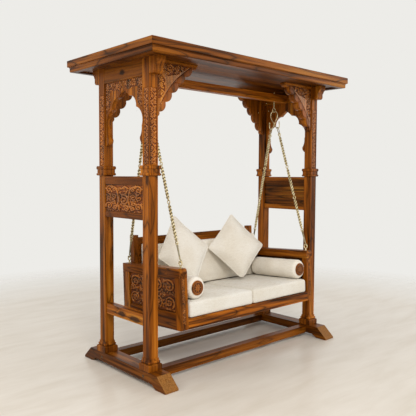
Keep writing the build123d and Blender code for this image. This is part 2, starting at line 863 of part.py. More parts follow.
# ---- arms ----
front_stile_y = arm_front_stile - bench_y
back_stile_y = bench_y - arm_back_stile
stile_tenon = 20
panel_outer_x = arm_outer_x - arm_panel_inset
panel_inner_x = panel_outer_x - arm_panel_thickness
low_rail_top = bench_bottom + arm_low_rail_height
arm_mid_x = arm_outer_x - arm_width / 2
low_rail_x = arm_outer_x - 3 - arm_low_rail_width / 2


def arm_grooves(side):
    """The grooves that hold one arm's panel."""
    block(
        (side * (panel_inner_x - fit_gap), side * (panel_outer_x + fit_gap)),
        (front_stile_y - groove_depth - fit_gap, back_stile_y + groove_depth + fit_gap),
        (low_rail_top - groove_depth - fit_gap, arm_rail_bottom + groove_depth + fit_gap),
        mode=Mode.SUBTRACT,
    )


def stile_tenons(side, gap, mode=Mode.ADD):
    """The tenons that enter one arm's top rail, or with a gap their mortises."""
    for middle in ((front_stile_y - bench_y) / 2, (back_stile_y + bench_y) / 2):
        block(
            span(side * arm_mid_x, arm_width / 3 + 2 * gap), span(middle, 24 + 2 * gap),
            (arm_rail_bottom, arm_rail_bottom + stile_tenon + 3 * gap), mode=mode,
        )


with BuildPart(hung) as arm_stiles:
    for side, _ in sides:
        block((side * arm_inner_x, side * arm_outer_x), (-bench_y, front_stile_y), (bench_bottom, arm_rail_bottom))
        block((side * arm_inner_x, side * arm_outer_x), (back_stile_y, bench_y), (bench_bottom, arm_rail_bottom))
        stile_tenons(side, 0)
        arm_grooves(side)
        block(
            span(side * low_rail_x, rail_tenon_thickness + 2 * fit_gap),
            (front_stile_y - stile_tenon - fit_gap, back_stile_y + stile_tenon + fit_gap),
            (bench_bottom + tenon_shoulder - fit_gap, low_rail_top - 2 * tenon_shoulder + fit_gap),
            mode=Mode.SUBTRACT,
        )
        block(
            (side * arm_inner_x, side * (arm_inner_x + tenon + mortise_gap)),
            span(seat_rail_thickness / 2 - bench_y, rail_tenon_thickness + 2 * fit_gap),
            (bench_bottom + tenon_shoulder - fit_gap, seat_top - tenon_shoulder + fit_gap),
            mode=Mode.SUBTRACT,
        )
        block(
            span(side * arm_mid_x, bead_strip_width), (-bench_y, bead_strip_depth - bench_y),
            (bench_bottom + seat_rail_height / 2, arm_rail_bottom), mode=Mode.SUBTRACT,
        )
save(arm_stiles.part, "arm_stiles")

with BuildPart(hung) as arm_top_rails:
    for side, _ in sides:
        block((side * arm_inner_x, side * arm_outer_x), (-bench_y, bench_y), (arm_rail_bottom, arm_top))
    fronts = arm_top_rails.edges().filter_by(Axis.X)
    front_tops = fronts.filter_by(lambda e: (hang.inverse() * Location(e.center())).position.Y < -bench_y + 1)
    fillet(front_tops.group_by(Axis.Z)[-1], arm_round)
    for side, _ in sides:
        stile_tenons(side, fit_gap, mode=Mode.SUBTRACT)
        arm_grooves(side)
        for end, _ in ends:
            rod(
                side * hang_x, end * strand_foot_y, (arm_top - arm_eye_screw_length - mortise_gap, arm_top),
                arm_eye_screw + 2 * fit_gap, mode=Mode.SUBTRACT,
            )
save(arm_top_rails.part, "arm_top_rails")

with BuildPart(hung) as arm_bottom_rails:
    for side, _ in sides:
        block(span(side * low_rail_x, arm_low_rail_width), (front_stile_y, back_stile_y), (bench_bottom, low_rail_top))
        block(
            span(side * low_rail_x, rail_tenon_thickness),
            (front_stile_y - stile_tenon, back_stile_y + stile_tenon),
            (bench_bottom + tenon_shoulder, low_rail_top - 2 * tenon_shoulder),
        )
        arm_grooves(side)
save(arm_bottom_rails.part, "arm_bottom_rails")

with BuildPart(hung) as arm_panels:
    for side, _ in sides:
        block(
            (side * panel_inner_x, side * panel_outer_x),
            (front_stile_y - groove_depth, back_stile_y + groove_depth),
            (low_rail_top - groove_depth, arm_rail_bottom + groove_depth),
        )
save(arm_panels.part, "arm_panels")

# ---- seat frame ----
with BuildPart(hung) as front_seat_rail:
    block((-arm_inner_x, arm_inner_x), (-bench_y, seat_rail_thickness - bench_y), (bench_bottom, seat_top))
    block(
        (-arm_inner_x - tenon, arm_inner_x + tenon),
        span(seat_rail_thickness / 2 - bench_y, rail_tenon_thickness),
        (bench_bottom + tenon_shoulder, seat_top - tenon_shoulder),
    )
save(front_seat_rail.part, "front_seat_rail")

back_rail_x = back_stile_inner_x
seat_rail_back_y = bench_y - seat_rail_thickness
back_mid_y = back_rail_front_y + back_rail_thickness / 2
back_boards_bottom = bench_bottom + back_seat_rail_height


def back_groove():
    """The groove that holds the ends and edges of the back boards."""
    block(
        (-back_rail_x - back_tenon - fit_gap, back_rail_x + back_tenon + fit_gap),
        span(back_mid_y, back_board_thickness + 2 * fit_gap),
        (back_boards_bottom - back_tenon - fit_gap, back_rail_bottom + back_tenon + fit_gap),
        mode=Mode.SUBTRACT,
    )


with BuildPart(hung) as back_seat_rail:
    block((-back_rail_x, back_rail_x), (seat_rail_back_y, bench_y), (bench_bottom, back_boards_bottom))
    block(
        (-back_rail_x - back_tenon, back_rail_x + back_tenon),
        span(bench_y - seat_rail_thickness / 2, rail_tenon_thickness),
        (bench_bottom + tenon_shoulder, seat_top - tenon_shoulder),
    )
    back_groove()
save(back_seat_rail.part, "back_seat_rail")

slat_bottom = seat_top - slat_thickness
with BuildPart(hung) as seat_ledgers:
    for end, _ in ends:
        block(
            (soft_gap - back_rail_x, back_rail_x - soft_gap),
            (end * (seat_rail_back_y - ledger_width), end * seat_rail_back_y),
            (slat_bottom - ledger_height, slat_bottom),
        )
save(seat_ledgers.part, "seat_ledgers")

with BuildPart(hung) as seat_slats:
    reach = back_rail_x - 2 - seat_slat_width / 2
    for n in range(seat_slat_count):
        block(
            span(reach * (2 * n / (seat_slat_count - 1) - 1), seat_slat_width),
            (fit_gap - seat_rail_back_y, seat_rail_back_y - fit_gap), (slat_bottom, seat_top),
        )
save(seat_slats.part, "seat_slats")

# ---- back frame ----
back_rail_tenon = 16
with BuildPart(hung) as back_stiles:
    for side, _ in sides:
        block(
            (side * back_stile_inner_x, side * (arm_inner_x - fit_gap)),
            (back_stile_front_y, bench_y), (bench_bottom, back_top),
        )
        block(
            (side * back_stile_inner_x, side * (back_stile_inner_x + back_tenon + mortise_gap)),
            span(back_mid_y, back_rail_tenon + 2 * fit_gap),
            (back_rail_bottom, back_rail_top - tenon_shoulder + fit_gap), mode=Mode.SUBTRACT,
        )
        block(
            (side * back_stile_inner_x, side * (back_stile_inner_x + back_tenon + mortise_gap)),
            span(bench_y - seat_rail_thickness / 2, rail_tenon_thickness + 2 * fit_gap),
            (bench_bottom + tenon_shoulder - fit_gap, seat_top - tenon_shoulder + fit_gap), mode=Mode.SUBTRACT,
        )
    back_groove()
save(back_stiles.part, "back_stiles")

with BuildPart(hung) as back_top_rail:
    block(
        (-back_rail_x, back_rail_x),
        (back_rail_front_y, back_rail_front_y + back_rail_thickness), (back_rail_bottom, back_rail_top),
    )
    back_groove()
    block(
        (-back_rail_x - back_tenon, back_rail_x + back_tenon), span(back_mid_y, back_rail_tenon),
        (back_rail_bottom + back_tenon + 2 * fit_gap, back_rail_top - tenon_shoulder),
    )
save(back_top_rail.part, "back_top_rail")

with BuildPart(hung) as back_boards:
    low, high = back_boards_bottom - back_tenon, back_rail_bottom + back_tenon
    board = (high - low) / back_board_count
    for n in range(back_board_count):
        block(
            (-back_rail_x - back_tenon, back_rail_x + back_tenon), span(back_mid_y, back_board_thickness),
            (low + n * board + board_gap / 2, low + (n + 1) * board - board_gap / 2),
        )
save(back_boards.part, "back_boards")

# ---- cushions ----
seat_halves = (
    ("left_seat_cushion", -seat_cushion_side, seat_split_x - seat_split_gap / 2),
    ("right_seat_cushion", seat_split_x + seat_split_gap / 2, seat_cushion_side),
)
for name, low, high in seat_halves:
    with BuildPart(hung) as cushion:
        block((low, high), (-bench_y, seat_cushion_back_y), (seat_top + soft_gap, cushion_top))
        fillet(cushion.edges(), cushion_round)
    save(cushion.part, name)

with BuildPart(hung) as back_cushion:
    block(
        (-back_cushion_half, back_cushion_half), (back_cushion_front_y, back_cushion_back_y),
        (cushion_top + soft_gap, back_rail_bottom),
    )
    fillet(back_cushion.edges(), back_cushion_round)
save(back_cushion.part, "back_cushion")

bolster_z = cushion_top + soft_gap + bolster_diameter / 2
for x, word in ((left_bolster_x, "left"), (right_bolster_x, "right")):
    with BuildPart(hung) as bolster:
        bar_along("Y", (x, bolster_front_y, bolster_z), bolster_back_y - bolster_front_y, bolster_diameter)
        fillet(bolster.edges().filter_by(GeomType.CIRCLE), bolster_round)
    save(bolster.part, word + "_bolster")

with BuildPart(hung) as bolster_end_discs:
    for x in (left_bolster_x, right_bolster_x):
        bar_along("Y", (x, bolster_front_y, bolster_z), -bolster_disc_thickness, bolster_disc)
        bar_along("Y", (x, bolster_back_y, bolster_z), bolster_disc_thickness, bolster_disc)
save(bolster_end_discs.part, "bolster_end_discs")


# ---- loose pillows, standing on a corner against the back ----
def pillow(frame, side):
    """A stuffed square: thin at its seam, full in the middle."""
    half = pillow_thickness / 2
    with BuildPart() as body:
        for depth, share in (
            (-half, 0.3), (-pillow_shoulder / 2, 0.7), (-pillow_rim / 2, 1),
            (pillow_rim / 2, 1), (pillow_shoulder / 2, 0.7), (half, 0.3),
        ):
            with BuildSketch(placed(frame, Plane.XZ.offset(depth))):
                Rectangle(side * share, side * share, rotation=45)
        loft(ruled=True)
    return body.part


def pillow_frame(place, rise, turn):
    """The middle of a pillow, its thickness along Y."""
    turned = Location((*place, cushion_top + rise)) * Location((0, 0, 0), (0, 0, turn[0]))
    return hang * turned * Location((0, 0, 0), (-pillow_lean, 0, 0)) * Location((0, 0, 0), (0, turn[1], 0))


left_frame = pillow_frame(left_pillow_place, left_pillow_rise, left_pillow_turn)
save(pillow(left_frame, left_pillow_side), "left_pillow")
right_frame = pillow_frame(right_pillow_place, right_pillow_rise, right_pillow_turn)
save(pillow(right_frame, right_pillow_side), "right_pillow")
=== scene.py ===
import math

import bpy
import numpy as np
from mathutils import Matrix, Vector


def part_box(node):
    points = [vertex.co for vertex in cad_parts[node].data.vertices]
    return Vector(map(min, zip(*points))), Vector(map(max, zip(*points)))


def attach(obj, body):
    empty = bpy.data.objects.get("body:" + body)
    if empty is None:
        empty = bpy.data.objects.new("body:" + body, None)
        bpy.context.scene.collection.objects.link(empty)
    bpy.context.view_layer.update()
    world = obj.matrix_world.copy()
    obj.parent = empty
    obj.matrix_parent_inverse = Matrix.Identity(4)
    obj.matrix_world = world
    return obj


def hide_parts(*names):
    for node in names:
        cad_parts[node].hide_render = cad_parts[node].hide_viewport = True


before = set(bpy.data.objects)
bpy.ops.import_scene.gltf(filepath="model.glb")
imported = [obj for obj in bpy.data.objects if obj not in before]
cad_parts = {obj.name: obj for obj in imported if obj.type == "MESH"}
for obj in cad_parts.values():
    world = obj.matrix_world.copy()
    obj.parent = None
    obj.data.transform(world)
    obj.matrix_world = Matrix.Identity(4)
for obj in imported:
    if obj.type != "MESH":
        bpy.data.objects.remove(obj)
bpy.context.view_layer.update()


def posed(place, *turns):
    """The matrix of something moved to a place and then turned about its own axes, in degrees."""
    matrix = Matrix.Translation(place)
    for angle, axis in turns:
        matrix = matrix @ Matrix.Rotation(math.radians(angle), 4, axis)
    return matrix


# ---- shared places, in metres: z is up and the swing faces -y ----
HANG_TILT = 3.19
PIVOT_Z = 1.868
HANG = posed((0, 0, PIVOT_Z), (-HANG_TILT, "X")) @ Matrix.Translation((0, 0, -PIVOT_Z))
AXES = {"stand": Matrix.Identity(4), "bench": HANG}
POST_X = 0.825
POST_Y = 0.256
POST_HALF = 0.0345
SIDES = ((-1, "left"), (1, "right"))
ENDS = ((-1, "front"), (1, "back"))
CORNERS = [(side, end, f"{end_word}_{word}") for side, word in SIDES for end, end_word in ENDS]
TURN = 2 * math.pi


# ---- making things ----
def adjust(thing, **settings):
    """The same thing with several settings made."""
    for key, value in settings.items():
        setattr(thing, key, value)
    return thing


def linked(name, data):
    """A new object in the scene."""
    made = bpy.data.objects.new(name, data)
    bpy.context.collection.objects.link(made)
    return made


def mesh_object(name, points, faces):
    data = bpy.data.meshes.new(name)
    data.from_pydata(points, [], faces)
    return linked(name, data)


# ---- camera, light and floor ----
def srgb(red, green, blue):
    """A colour written as it looks on a screen, as Blender's linear values."""
    linear = []
    for value in (red, green, blue):
        share = value / 255
        linear.append(share / 12.92 if share <= 0.04045 else ((share + 0.055) / 1.055) ** 2.4)
    return (*linear, 1)


def grey(level):
    return (level, level, level, 1)


def add_camera():
    """The photograph's viewpoint: in front of the swing and to its left, 1.3 m above the floor."""
    yaw, pitch, roll = -42.663, -3.385, 0.287
    data = adjust(bpy.data.cameras.new("camera"), lens=47.13, sensor_width=36)
    camera = linked("camera", data)
    camera.matrix_world = posed((-2.8814, -3.0243, 1.3302), (yaw, "Z"), (90 + pitch, "X"), (roll, "Z"))
    bpy.context.scene.camera = camera


def add_lamp(name, place, size, power, colour):
    """A square soft box that faces the middle of the swing."""
    data = adjust(bpy.data.lights.new(name, "AREA"), size=size, energy=power, color=colour[:3])
    lamp = linked(name, data)
    lamp.location = place
    lamp.rotation_euler = (Vector((0, 0, 1)) - Vector(place)).to_track_quat("-Z", "Y").to_euler()


def add_world():
    """Soft white light all round, and a pale wall colour wherever a ray leaves the scene."""
    world = bpy.data.worlds.new("world")
    bpy.context.scene.world = world
    world.use_nodes = True
    tree = world.node_tree
    tree.nodes.clear()
    light, wall = (tree.nodes.new("ShaderNodeBackground") for _ in range(2))
    fit(light, Color=srgb(250, 249, 247), Strength=0.82)
    fit(wall, Color=srgb(237, 236, 232), Strength=1.0)
    rays = source(tree, "ShaderNodeLightPath")
    direct = plus(rays["Is Camera Ray"], rays["Is Glossy Ray"])
    shown = maths("ADD", direct, rays["Is Transmission Ray"], clamp=True)
    mixed = node("ShaderNodeMixShader", {0: shown, 1: light.outputs[0], 2: wall.outputs[0]})
    node("ShaderNodeOutputWorld", {"Surface": mixed.outputs[0]})


def add_floor():
    """A pale stone floor round the swing that fades into the wall colour."""
    half = 9.0
    corners = [(-half, -half, 0), (half, -half, 0), (half, half, 0), (-half, half, 0)]
    floor = mesh_object("floor", corners, [(0, 1, 2, 3)])
    floor.data.materials.append(floor_material())


# ---- node helpers ----
def feed(socket, value):
    """Links a socket to another one, or sets its value."""
    if isinstance(value, bpy.types.NodeSocket):
        socket.id_data.links.new(value, socket)
    else:
        socket.default_value = value


def source(tree, kind, **settings):
    """The outputs of a node that nothing feeds."""
    return adjust(tree.nodes.new(kind), **settings).outputs


def node(kind, inputs, **settings):
    """A node in the tree of the sockets that feed it, with its settings made and its inputs set or linked."""
    tree = next(value.id_data for value in inputs.values() if isinstance(value, bpy.types.NodeSocket))
    made = adjust(tree.nodes.new(kind), **settings)
    for key, value in inputs.items():
        feed(made.inputs[key], value)
    return made


def maths(operation, first, second=0.0, clamp=False):
    made = node("ShaderNodeMath", {0: first, 1: second}, operation=operation, use_clamp=clamp)
    return made.outputs[0]


def plus(first, second):
    return maths("ADD", first, second)


def times(first, second):
    return maths("MULTIPLY", first, second)


def vectors(operation, first, second=(0, 0, 0)):
    """The sum or product of two vectors, or the length of the first."""
    made = node("ShaderNodeVectorMath", {0: first, 1: second}, operation=operation)
    return made.outputs["Value" if operation == "LENGTH" else "Vector"]


def ramp(value, *stops):
    """Screen colours or grey levels at given places of a value."""
    made = node("ShaderNodeValToRGB", {"Fac": value})
    band = made.color_ramp
    while len(band.elements) < len(stops):
        band.elements.new(0.5)
    for element, (place, colour) in zip(band.elements, stops):
        element.position = place
        element.color = srgb(*colour) if isinstance(colour, tuple) else grey(colour)
    return made.outputs["Color"]


def mix_colour(share, first, second, how="MIX"):
    made = node("ShaderNodeMix", {0: share, 6: first, 7: second}, data_type="RGBA", blend_type=how)
    return made.outputs[2]


def tinted(colour, tint, share=1.0):
    """A colour multiplied by another, wholly or in part."""
    return mix_colour(share, colour, tint, "MULTIPLY")


def noise(vector, scale, detail=2.0, roughness=0.5, distortion=0.0):
    inputs = {"Vector": vector, "Scale": scale, "Detail": detail, "Roughness": roughness}
    return node("ShaderNodeTexNoise", {**inputs, "Distortion": distortion}).outputs["Fac"]


def streaks(vector, across, along, detail=2.0, roughness=0.6, distortion=0.0):
    """Noise with one scale along the vector's Z and another across it."""
    drawn = vectors("MULTIPLY", vector, (across, across, along))
    return noise(drawn, 1.0, detail, roughness, distortion)


def new_material(name):
    """A new material with its surface shader and the place on the object."""
    material = bpy.data.materials.new(name)
    material.use_nodes = True
    tree = material.node_tree
    return material, tree.nodes["Principled BSDF"], source(tree, "ShaderNodeTexCoord")["Object"]


def fit(shader, **inputs):
    """Sets or links the inputs of a shader, underscores standing for spaces."""
    for key, value in inputs.items():
        feed(shader.inputs[key.replace("_", " ")], value)


def bump(height, strength, reach):
    made = node("ShaderNodeBump", {"Strength": strength, "Distance": reach, "Height": height})
    return made.outputs[0]


# ---- wood ----
def grain_vector(place, grain, seed):
    """Coordinates whose Z runs along the grain: 'X', 'Y', 'Z', or 'mitred' round the canopy."""
    x, y, z = node("ShaderNodeSeparateXYZ", {0: place}).outputs
    orders = {"X": (y, z, x), "Y": (x, z, y), "Z": (x, y, z)}

    def turned(way):
        return node("ShaderNodeCombineXYZ", dict(enumerate(orders[way]))).outputs[0]

    if grain == "mitred":
        _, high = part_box("canopy_mouldings")
        from_end = maths("SUBTRACT", high[0], maths("ABSOLUTE", x))
        from_front = maths("SUBTRACT", high[1], maths("ABSOLUTE", y))
        at_end = maths("LESS_THAN", from_end, from_front)
        mixed = node("ShaderNodeMix", {0: at_end, 4: turned("X"), 5: turned("Y")}, data_type="VECTOR")
        order = mixed.outputs[1]
    else:
        order = turned(grain)
    shift = (1.7 * math.sin(seed * 1.3), 2.3 * math.cos(seed * 2.1), 3.1 * math.sin(seed * 0.7 + 1))
    return vectors("ADD", order, shift)


def knot_depth(place, knots):
    """How deep a point lies in a knot, each knot given by its middle and its reach along x, y and z."""
    depth = 0.0
    for x, y, z, *reach in knots:
        away = vectors("ADD", place, (-x, -y, -z))
        away = vectors("MULTIPLY", away, [1 / value for value in reach])
        ragged = plus(vectors("LENGTH", away), times(noise(away, 1.4, 3.0, 0.6), 0.7))
        depth = maths("MAXIMUM", depth, maths("SUBTRACT", 1.85, ragged, clamp=True))
    return depth


def heartwood(along, streak, depth, figure):
    """Dark to honey brown patches under dark lines that wind along the grain and round the knots."""
    heart = streaks(along, 15.0, 0.8, 2.5, 0.55, 0.6)
    tone = plus(times(heart, 0.62), times(streak, 0.38))
    tone = plus(times(tone, figure), 0.515 * (1 - figure))
    colour = ramp(
        tone,
        (0.35, (54, 23, 4)), (0.43, (97, 48, 8)), (0.51, (140, 75, 13)), (0.59, (170, 99, 24)),
        (0.70, (200, 133, 46)),
    )
    hill = streaks(along, 8.0, 0.9, 1.6, 0.45, 0.35)
    if depth is not None:
        hill = plus(hill, times(depth, 0.28))
    contour = maths("PINGPONG", times(hill, 17.0), 1.0)
    line = ramp(contour, (0.0, 0.2), (0.14, 0.7), (0.4, 1.0))
    return tinted(colour, line, min(1.0, figure))


def end_grain(colour, thread):
    """Paler rings on the sawn faces that look along y, where a beam's ends are cut."""
    normal = source(thread.id_data, "ShaderNodeNewGeometry")["Normal"]
    facing = maths("ABSOLUTE", node("ShaderNodeSeparateXYZ", {0: normal}).outputs[1])
    rings = ramp(thread, (0.35, (146, 90, 36)), (0.6, (204, 146, 80)))
    return mix_colour(ramp(facing, (0.3, 0.0), (0.5, 0.7)), colour, rings)


def carved_shade_and_gloss(colour):
    """Colour and roughness of carving: painted shade, dark in the ground, and a painted pale highlight on the
    crests, which are also glossier.
    """
    relief = source(colour.id_data, "ShaderNodeAttribute", attribute_name="relief")["Fac"]
    # painted shade: the ground is darkened where the relief level is low, in the hollows between the carved
    # forms
    ground = ramp(relief, (0.2, (126, 82, 38)), (0.44, (214, 186, 140)), (0.6, 1.0))
    # painted highlight: where the level is high, the crests are mixed towards a pale gold
    crest_highlight = ramp(relief, (0.56, 0.0), (0.85, 0.24))
    colour = mix_colour(crest_highlight, tinted(colour, ground), srgb(190, 118, 56))
    return colour, ramp(relief, (0.35, 0.62), (0.62, 0.15))


def wood_material(name, seed, grain, shade=1.0, figure=0.75, carved=False, knots=(), toes=False, rough=0.26):
    """Oiled sheesham with dark streaks and fine pores under a satin varnish."""
    material, shader, place = new_material(name)
    along = grain_vector(place, grain, seed)
    streak = streaks(along, 55.0, 1.6, 3.0, 0.6, 0.3)
    thread = streaks(along, 210.0, 5.0)
    pore = ramp(streaks(along, 520.0, 16.0), (0.30, 0.4), (0.46, 1.0))
    depth = knot_depth(place, knots) if knots else None
    colour = heartwood(along, streak, depth, figure)
    colour = tinted(colour, ramp(streak, (0.31, 0.2), (0.43, 1.0)), 0.8)
    colour = tinted(colour, pore, 0.6)
    if knots:
        colour = mix_colour(ramp(depth, (0.25, 0.0), (0.8, 0.88)), colour, srgb(34, 14, 5))
    if toes:
        colour = end_grain(colour, thread)
    # painted light and shade: a node's shade from WOOD lightens or darkens its whole colour
    colour = tinted(colour, grey(shade))
    rough = plus(rough, times(thread, 0.22))
    if carved:
        colour, rough = carved_shade_and_gloss(colour)
    rise = plus(times(pore, 0.6), times(thread, 0.4))
    fit(
        shader, Base_Color=colour, Roughness=rough, Normal=bump(rise, 0.3, 0.0005),
        IOR=1.45, Specular_IOR_Level=0.62 if carved else 0.2, Specular_Tint=srgb(255, 208, 158),
    )
    return material


# ---- metal, cloth and stone ----
def brass_material(name, twisted=False, shade=1.0, metal=0.65):
    """Pale antique brass, duller and browner in patches, with painted shade down between laid strands."""
    material, shader, place = new_material(name)
    patch = noise(place, 45.0, 4.0, 0.6)
    colour = ramp(patch, (0.3, (146, 126, 82)), (0.5, (216, 198, 150)), (0.7, (250, 240, 206)))
    if twisted:
        crown = source(place.id_data, "ShaderNodeAttribute", attribute_name="crown")["Fac"]
        # painted shade: darker down between the laid strands, where the crown value is low
        colour = tinted(colour, ramp(crown, (0.08, 0.14), (0.6, 1.0)))
    colour = tinted(colour, grey(shade))
    dents = noise(place, 420.0, 2.0, 0.5)
    fit(
        shader, Base_Color=colour, Metallic=metal, Normal=bump(dents, 0.3, 0.0005),
        Roughness=maths("SUBTRACT", 0.56, times(patch, 0.34)),
    )
    return material


def steel_material():
    """Dark oiled steel, scuffed paler in small patches."""
    material, shader, place = new_material("dark_steel")
    scuff = noise(place, 260.0, 3.0, 0.6)
    colour = ramp(scuff, (0.35, (44, 38, 34)), (0.65, (104, 96, 88)))
    rough = plus(0.3, times(scuff, 0.2))
    fit(shader, Base_Color=colour, Metallic=0.8, Roughness=rough)
    return material


def linen_material(name, colour, seed):
    """Plain woven linen: two sets of uneven threads, slubs and a soft sheen."""
    material, shader, place = new_material(name)
    moved = vectors("ADD", place, (seed, -seed, 0.5 * seed))
    weave = times(plus(streaks(moved, 60.0, 900.0), streaks(moved, 900.0, 60.0)), 0.5)
    slub = streaks(moved, 26.0, 300.0, 3.0)
    tone = plus(times(weave, 0.75), times(slub, 0.25))
    shade = ramp(tone, (0.36, (228, 221, 210)), (0.5, (249, 247, 243)), (0.66, 1.0))
    dusk = ramp(noise(moved, 5.0, 2.0, 0.5), (0.35, (247, 244, 239)), (0.65, 1.0))
    cloth = tinted(tinted(srgb(*colour), shade), dusk)
    fit(
        shader, Base_Color=cloth, Roughness=0.92, Normal=bump(tone, 0.4, 0.0006),
        Sheen_Weight=0.15, Sheen_Roughness=0.5, Specular_IOR_Level=0.2,
    )
    return material


def floor_material():
    """Pale stone with faint level veins, fading out to the wall colour far from the swing."""
    material, shader, place = new_material("pale_stone")
    vein = noise(vectors("MULTIPLY", place, (1.2, 5.0, 1.0)), 1.6, 4.0, 0.6, 0.3)
    colour = ramp(vein, (0.3, (209, 200, 186)), (0.5, (216, 208, 196)), (0.7, (221, 214, 203)))
    fit(shader, Base_Color=colour, Roughness=0.3, Specular_IOR_Level=0.4)
    reach = times(vectors("LENGTH", place), 0.1)
    gone = ramp(reach, (0.24, 0.0), (0.42, 1.0))
    clear = source(material.node_tree, "ShaderNodeBsdfTransparent")[0]
    mixed = node("ShaderNodeMixShader", {0: gone, 1: shader.outputs[0], 2: clear})
    feed(material.node_tree.nodes["Material Output"].inputs["Surface"], mixed.outputs[0])
    return material


# ---- meshes ----
def placed(points, matrix):
    """Points moved by a matrix."""
    turned = np.array(matrix)
    return points @ turned[:3, :3].T + turned[:3, 3]


def add_object(name, points, faces, material, body, slot):
    """A mesh object that rides on a body, its points in world metres."""
    made = mesh_object(name, points, faces)
    made.data.validate()
    made.data.materials.append(material)
    made.data.shade_smooth()
    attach(made, body)
    return made


def add_values(made, name, values):
    """A value at each point of a mesh, for its material to read."""
    made.data.attributes.new(name, "FLOAT", "POINT").data.foreach_set("value", values)


def ring_quads(rings, around, closed=False):
    """Faces between each ring of points and the next; a closed loop of rings is wound the other way."""
    faces = []
    for n in range(rings if closed else rings - 1):
        low, high = n * around, (n + 1) % rings * around
        for k in range(around):
            after = (k + 1) % around
            if closed:
                faces.append((low + k, high + k, high + after, low + after))
            else:
                faces.append((low + k, low + after, high + after, high + k))
    return faces


def joined(pieces):
    """The points and faces of several pieces as those of one."""
    points, faces = [], []
    for more, quads in pieces:
        faces += [tuple(index + len(points) for index in quad) for quad in quads]
        points += list(more)
    return points, faces


# ---- carving, drawn in millimetres ----
def lobed_line(points, centre, share):
    """The points joined by shallow arcs that bulge away from the centre, as the scalloped edges do."""
    line = []
    pieces = 8
    for (u0, v0), (u1, v1) in zip(points, points[1:]):
        away_u, away_v = v1 - v0, u0 - u1
        if away_u * ((u0 + u1) / 2 - centre[0]) + away_v * ((v0 + v1) / 2 - centre[1]) < 0:
            away_u, away_v = -away_u, -away_v
        for n in range(pieces):
            t = n / pieces
            bulge = 4 * share * t * (1 - t)
            line.append((u0 + t * (u1 - u0) + bulge * away_u, v0 + t * (v1 - v0) + bulge * away_v))
    return line + [points[-1]]


def inside(outline, u, v):
    """Which grid points lie inside a closed outline."""
    within_it = np.zeros(u.shape, bool)
    for (u0, v0), (u1, v1) in zip(outline, outline[1:] + outline[:1]):
        crossing = (v0 > v) != (v1 > v)
        rise = v1 - v0 if v1 != v0 else 1
        within_it ^= crossing & (u < u0 + (v - v0) * (u1 - u0) / rise)
    return within_it


def distance(line, u, v):
    """How far grid points are from a line of points."""
    nearest = np.full(u.shape, np.inf)
    for (u0, v0), (u1, v1) in zip(line, line[1:]):
        run_u, run_v = u1 - u0, v1 - v0
        t = np.clip(((u - u0) * run_u + (v - v0) * run_v) / max(run_u**2 + run_v**2, 1e-9), 0, 1)
        nearest = np.minimum(nearest, np.hypot(u - u0 - t * run_u, v - v0 - t * run_v))
    return nearest


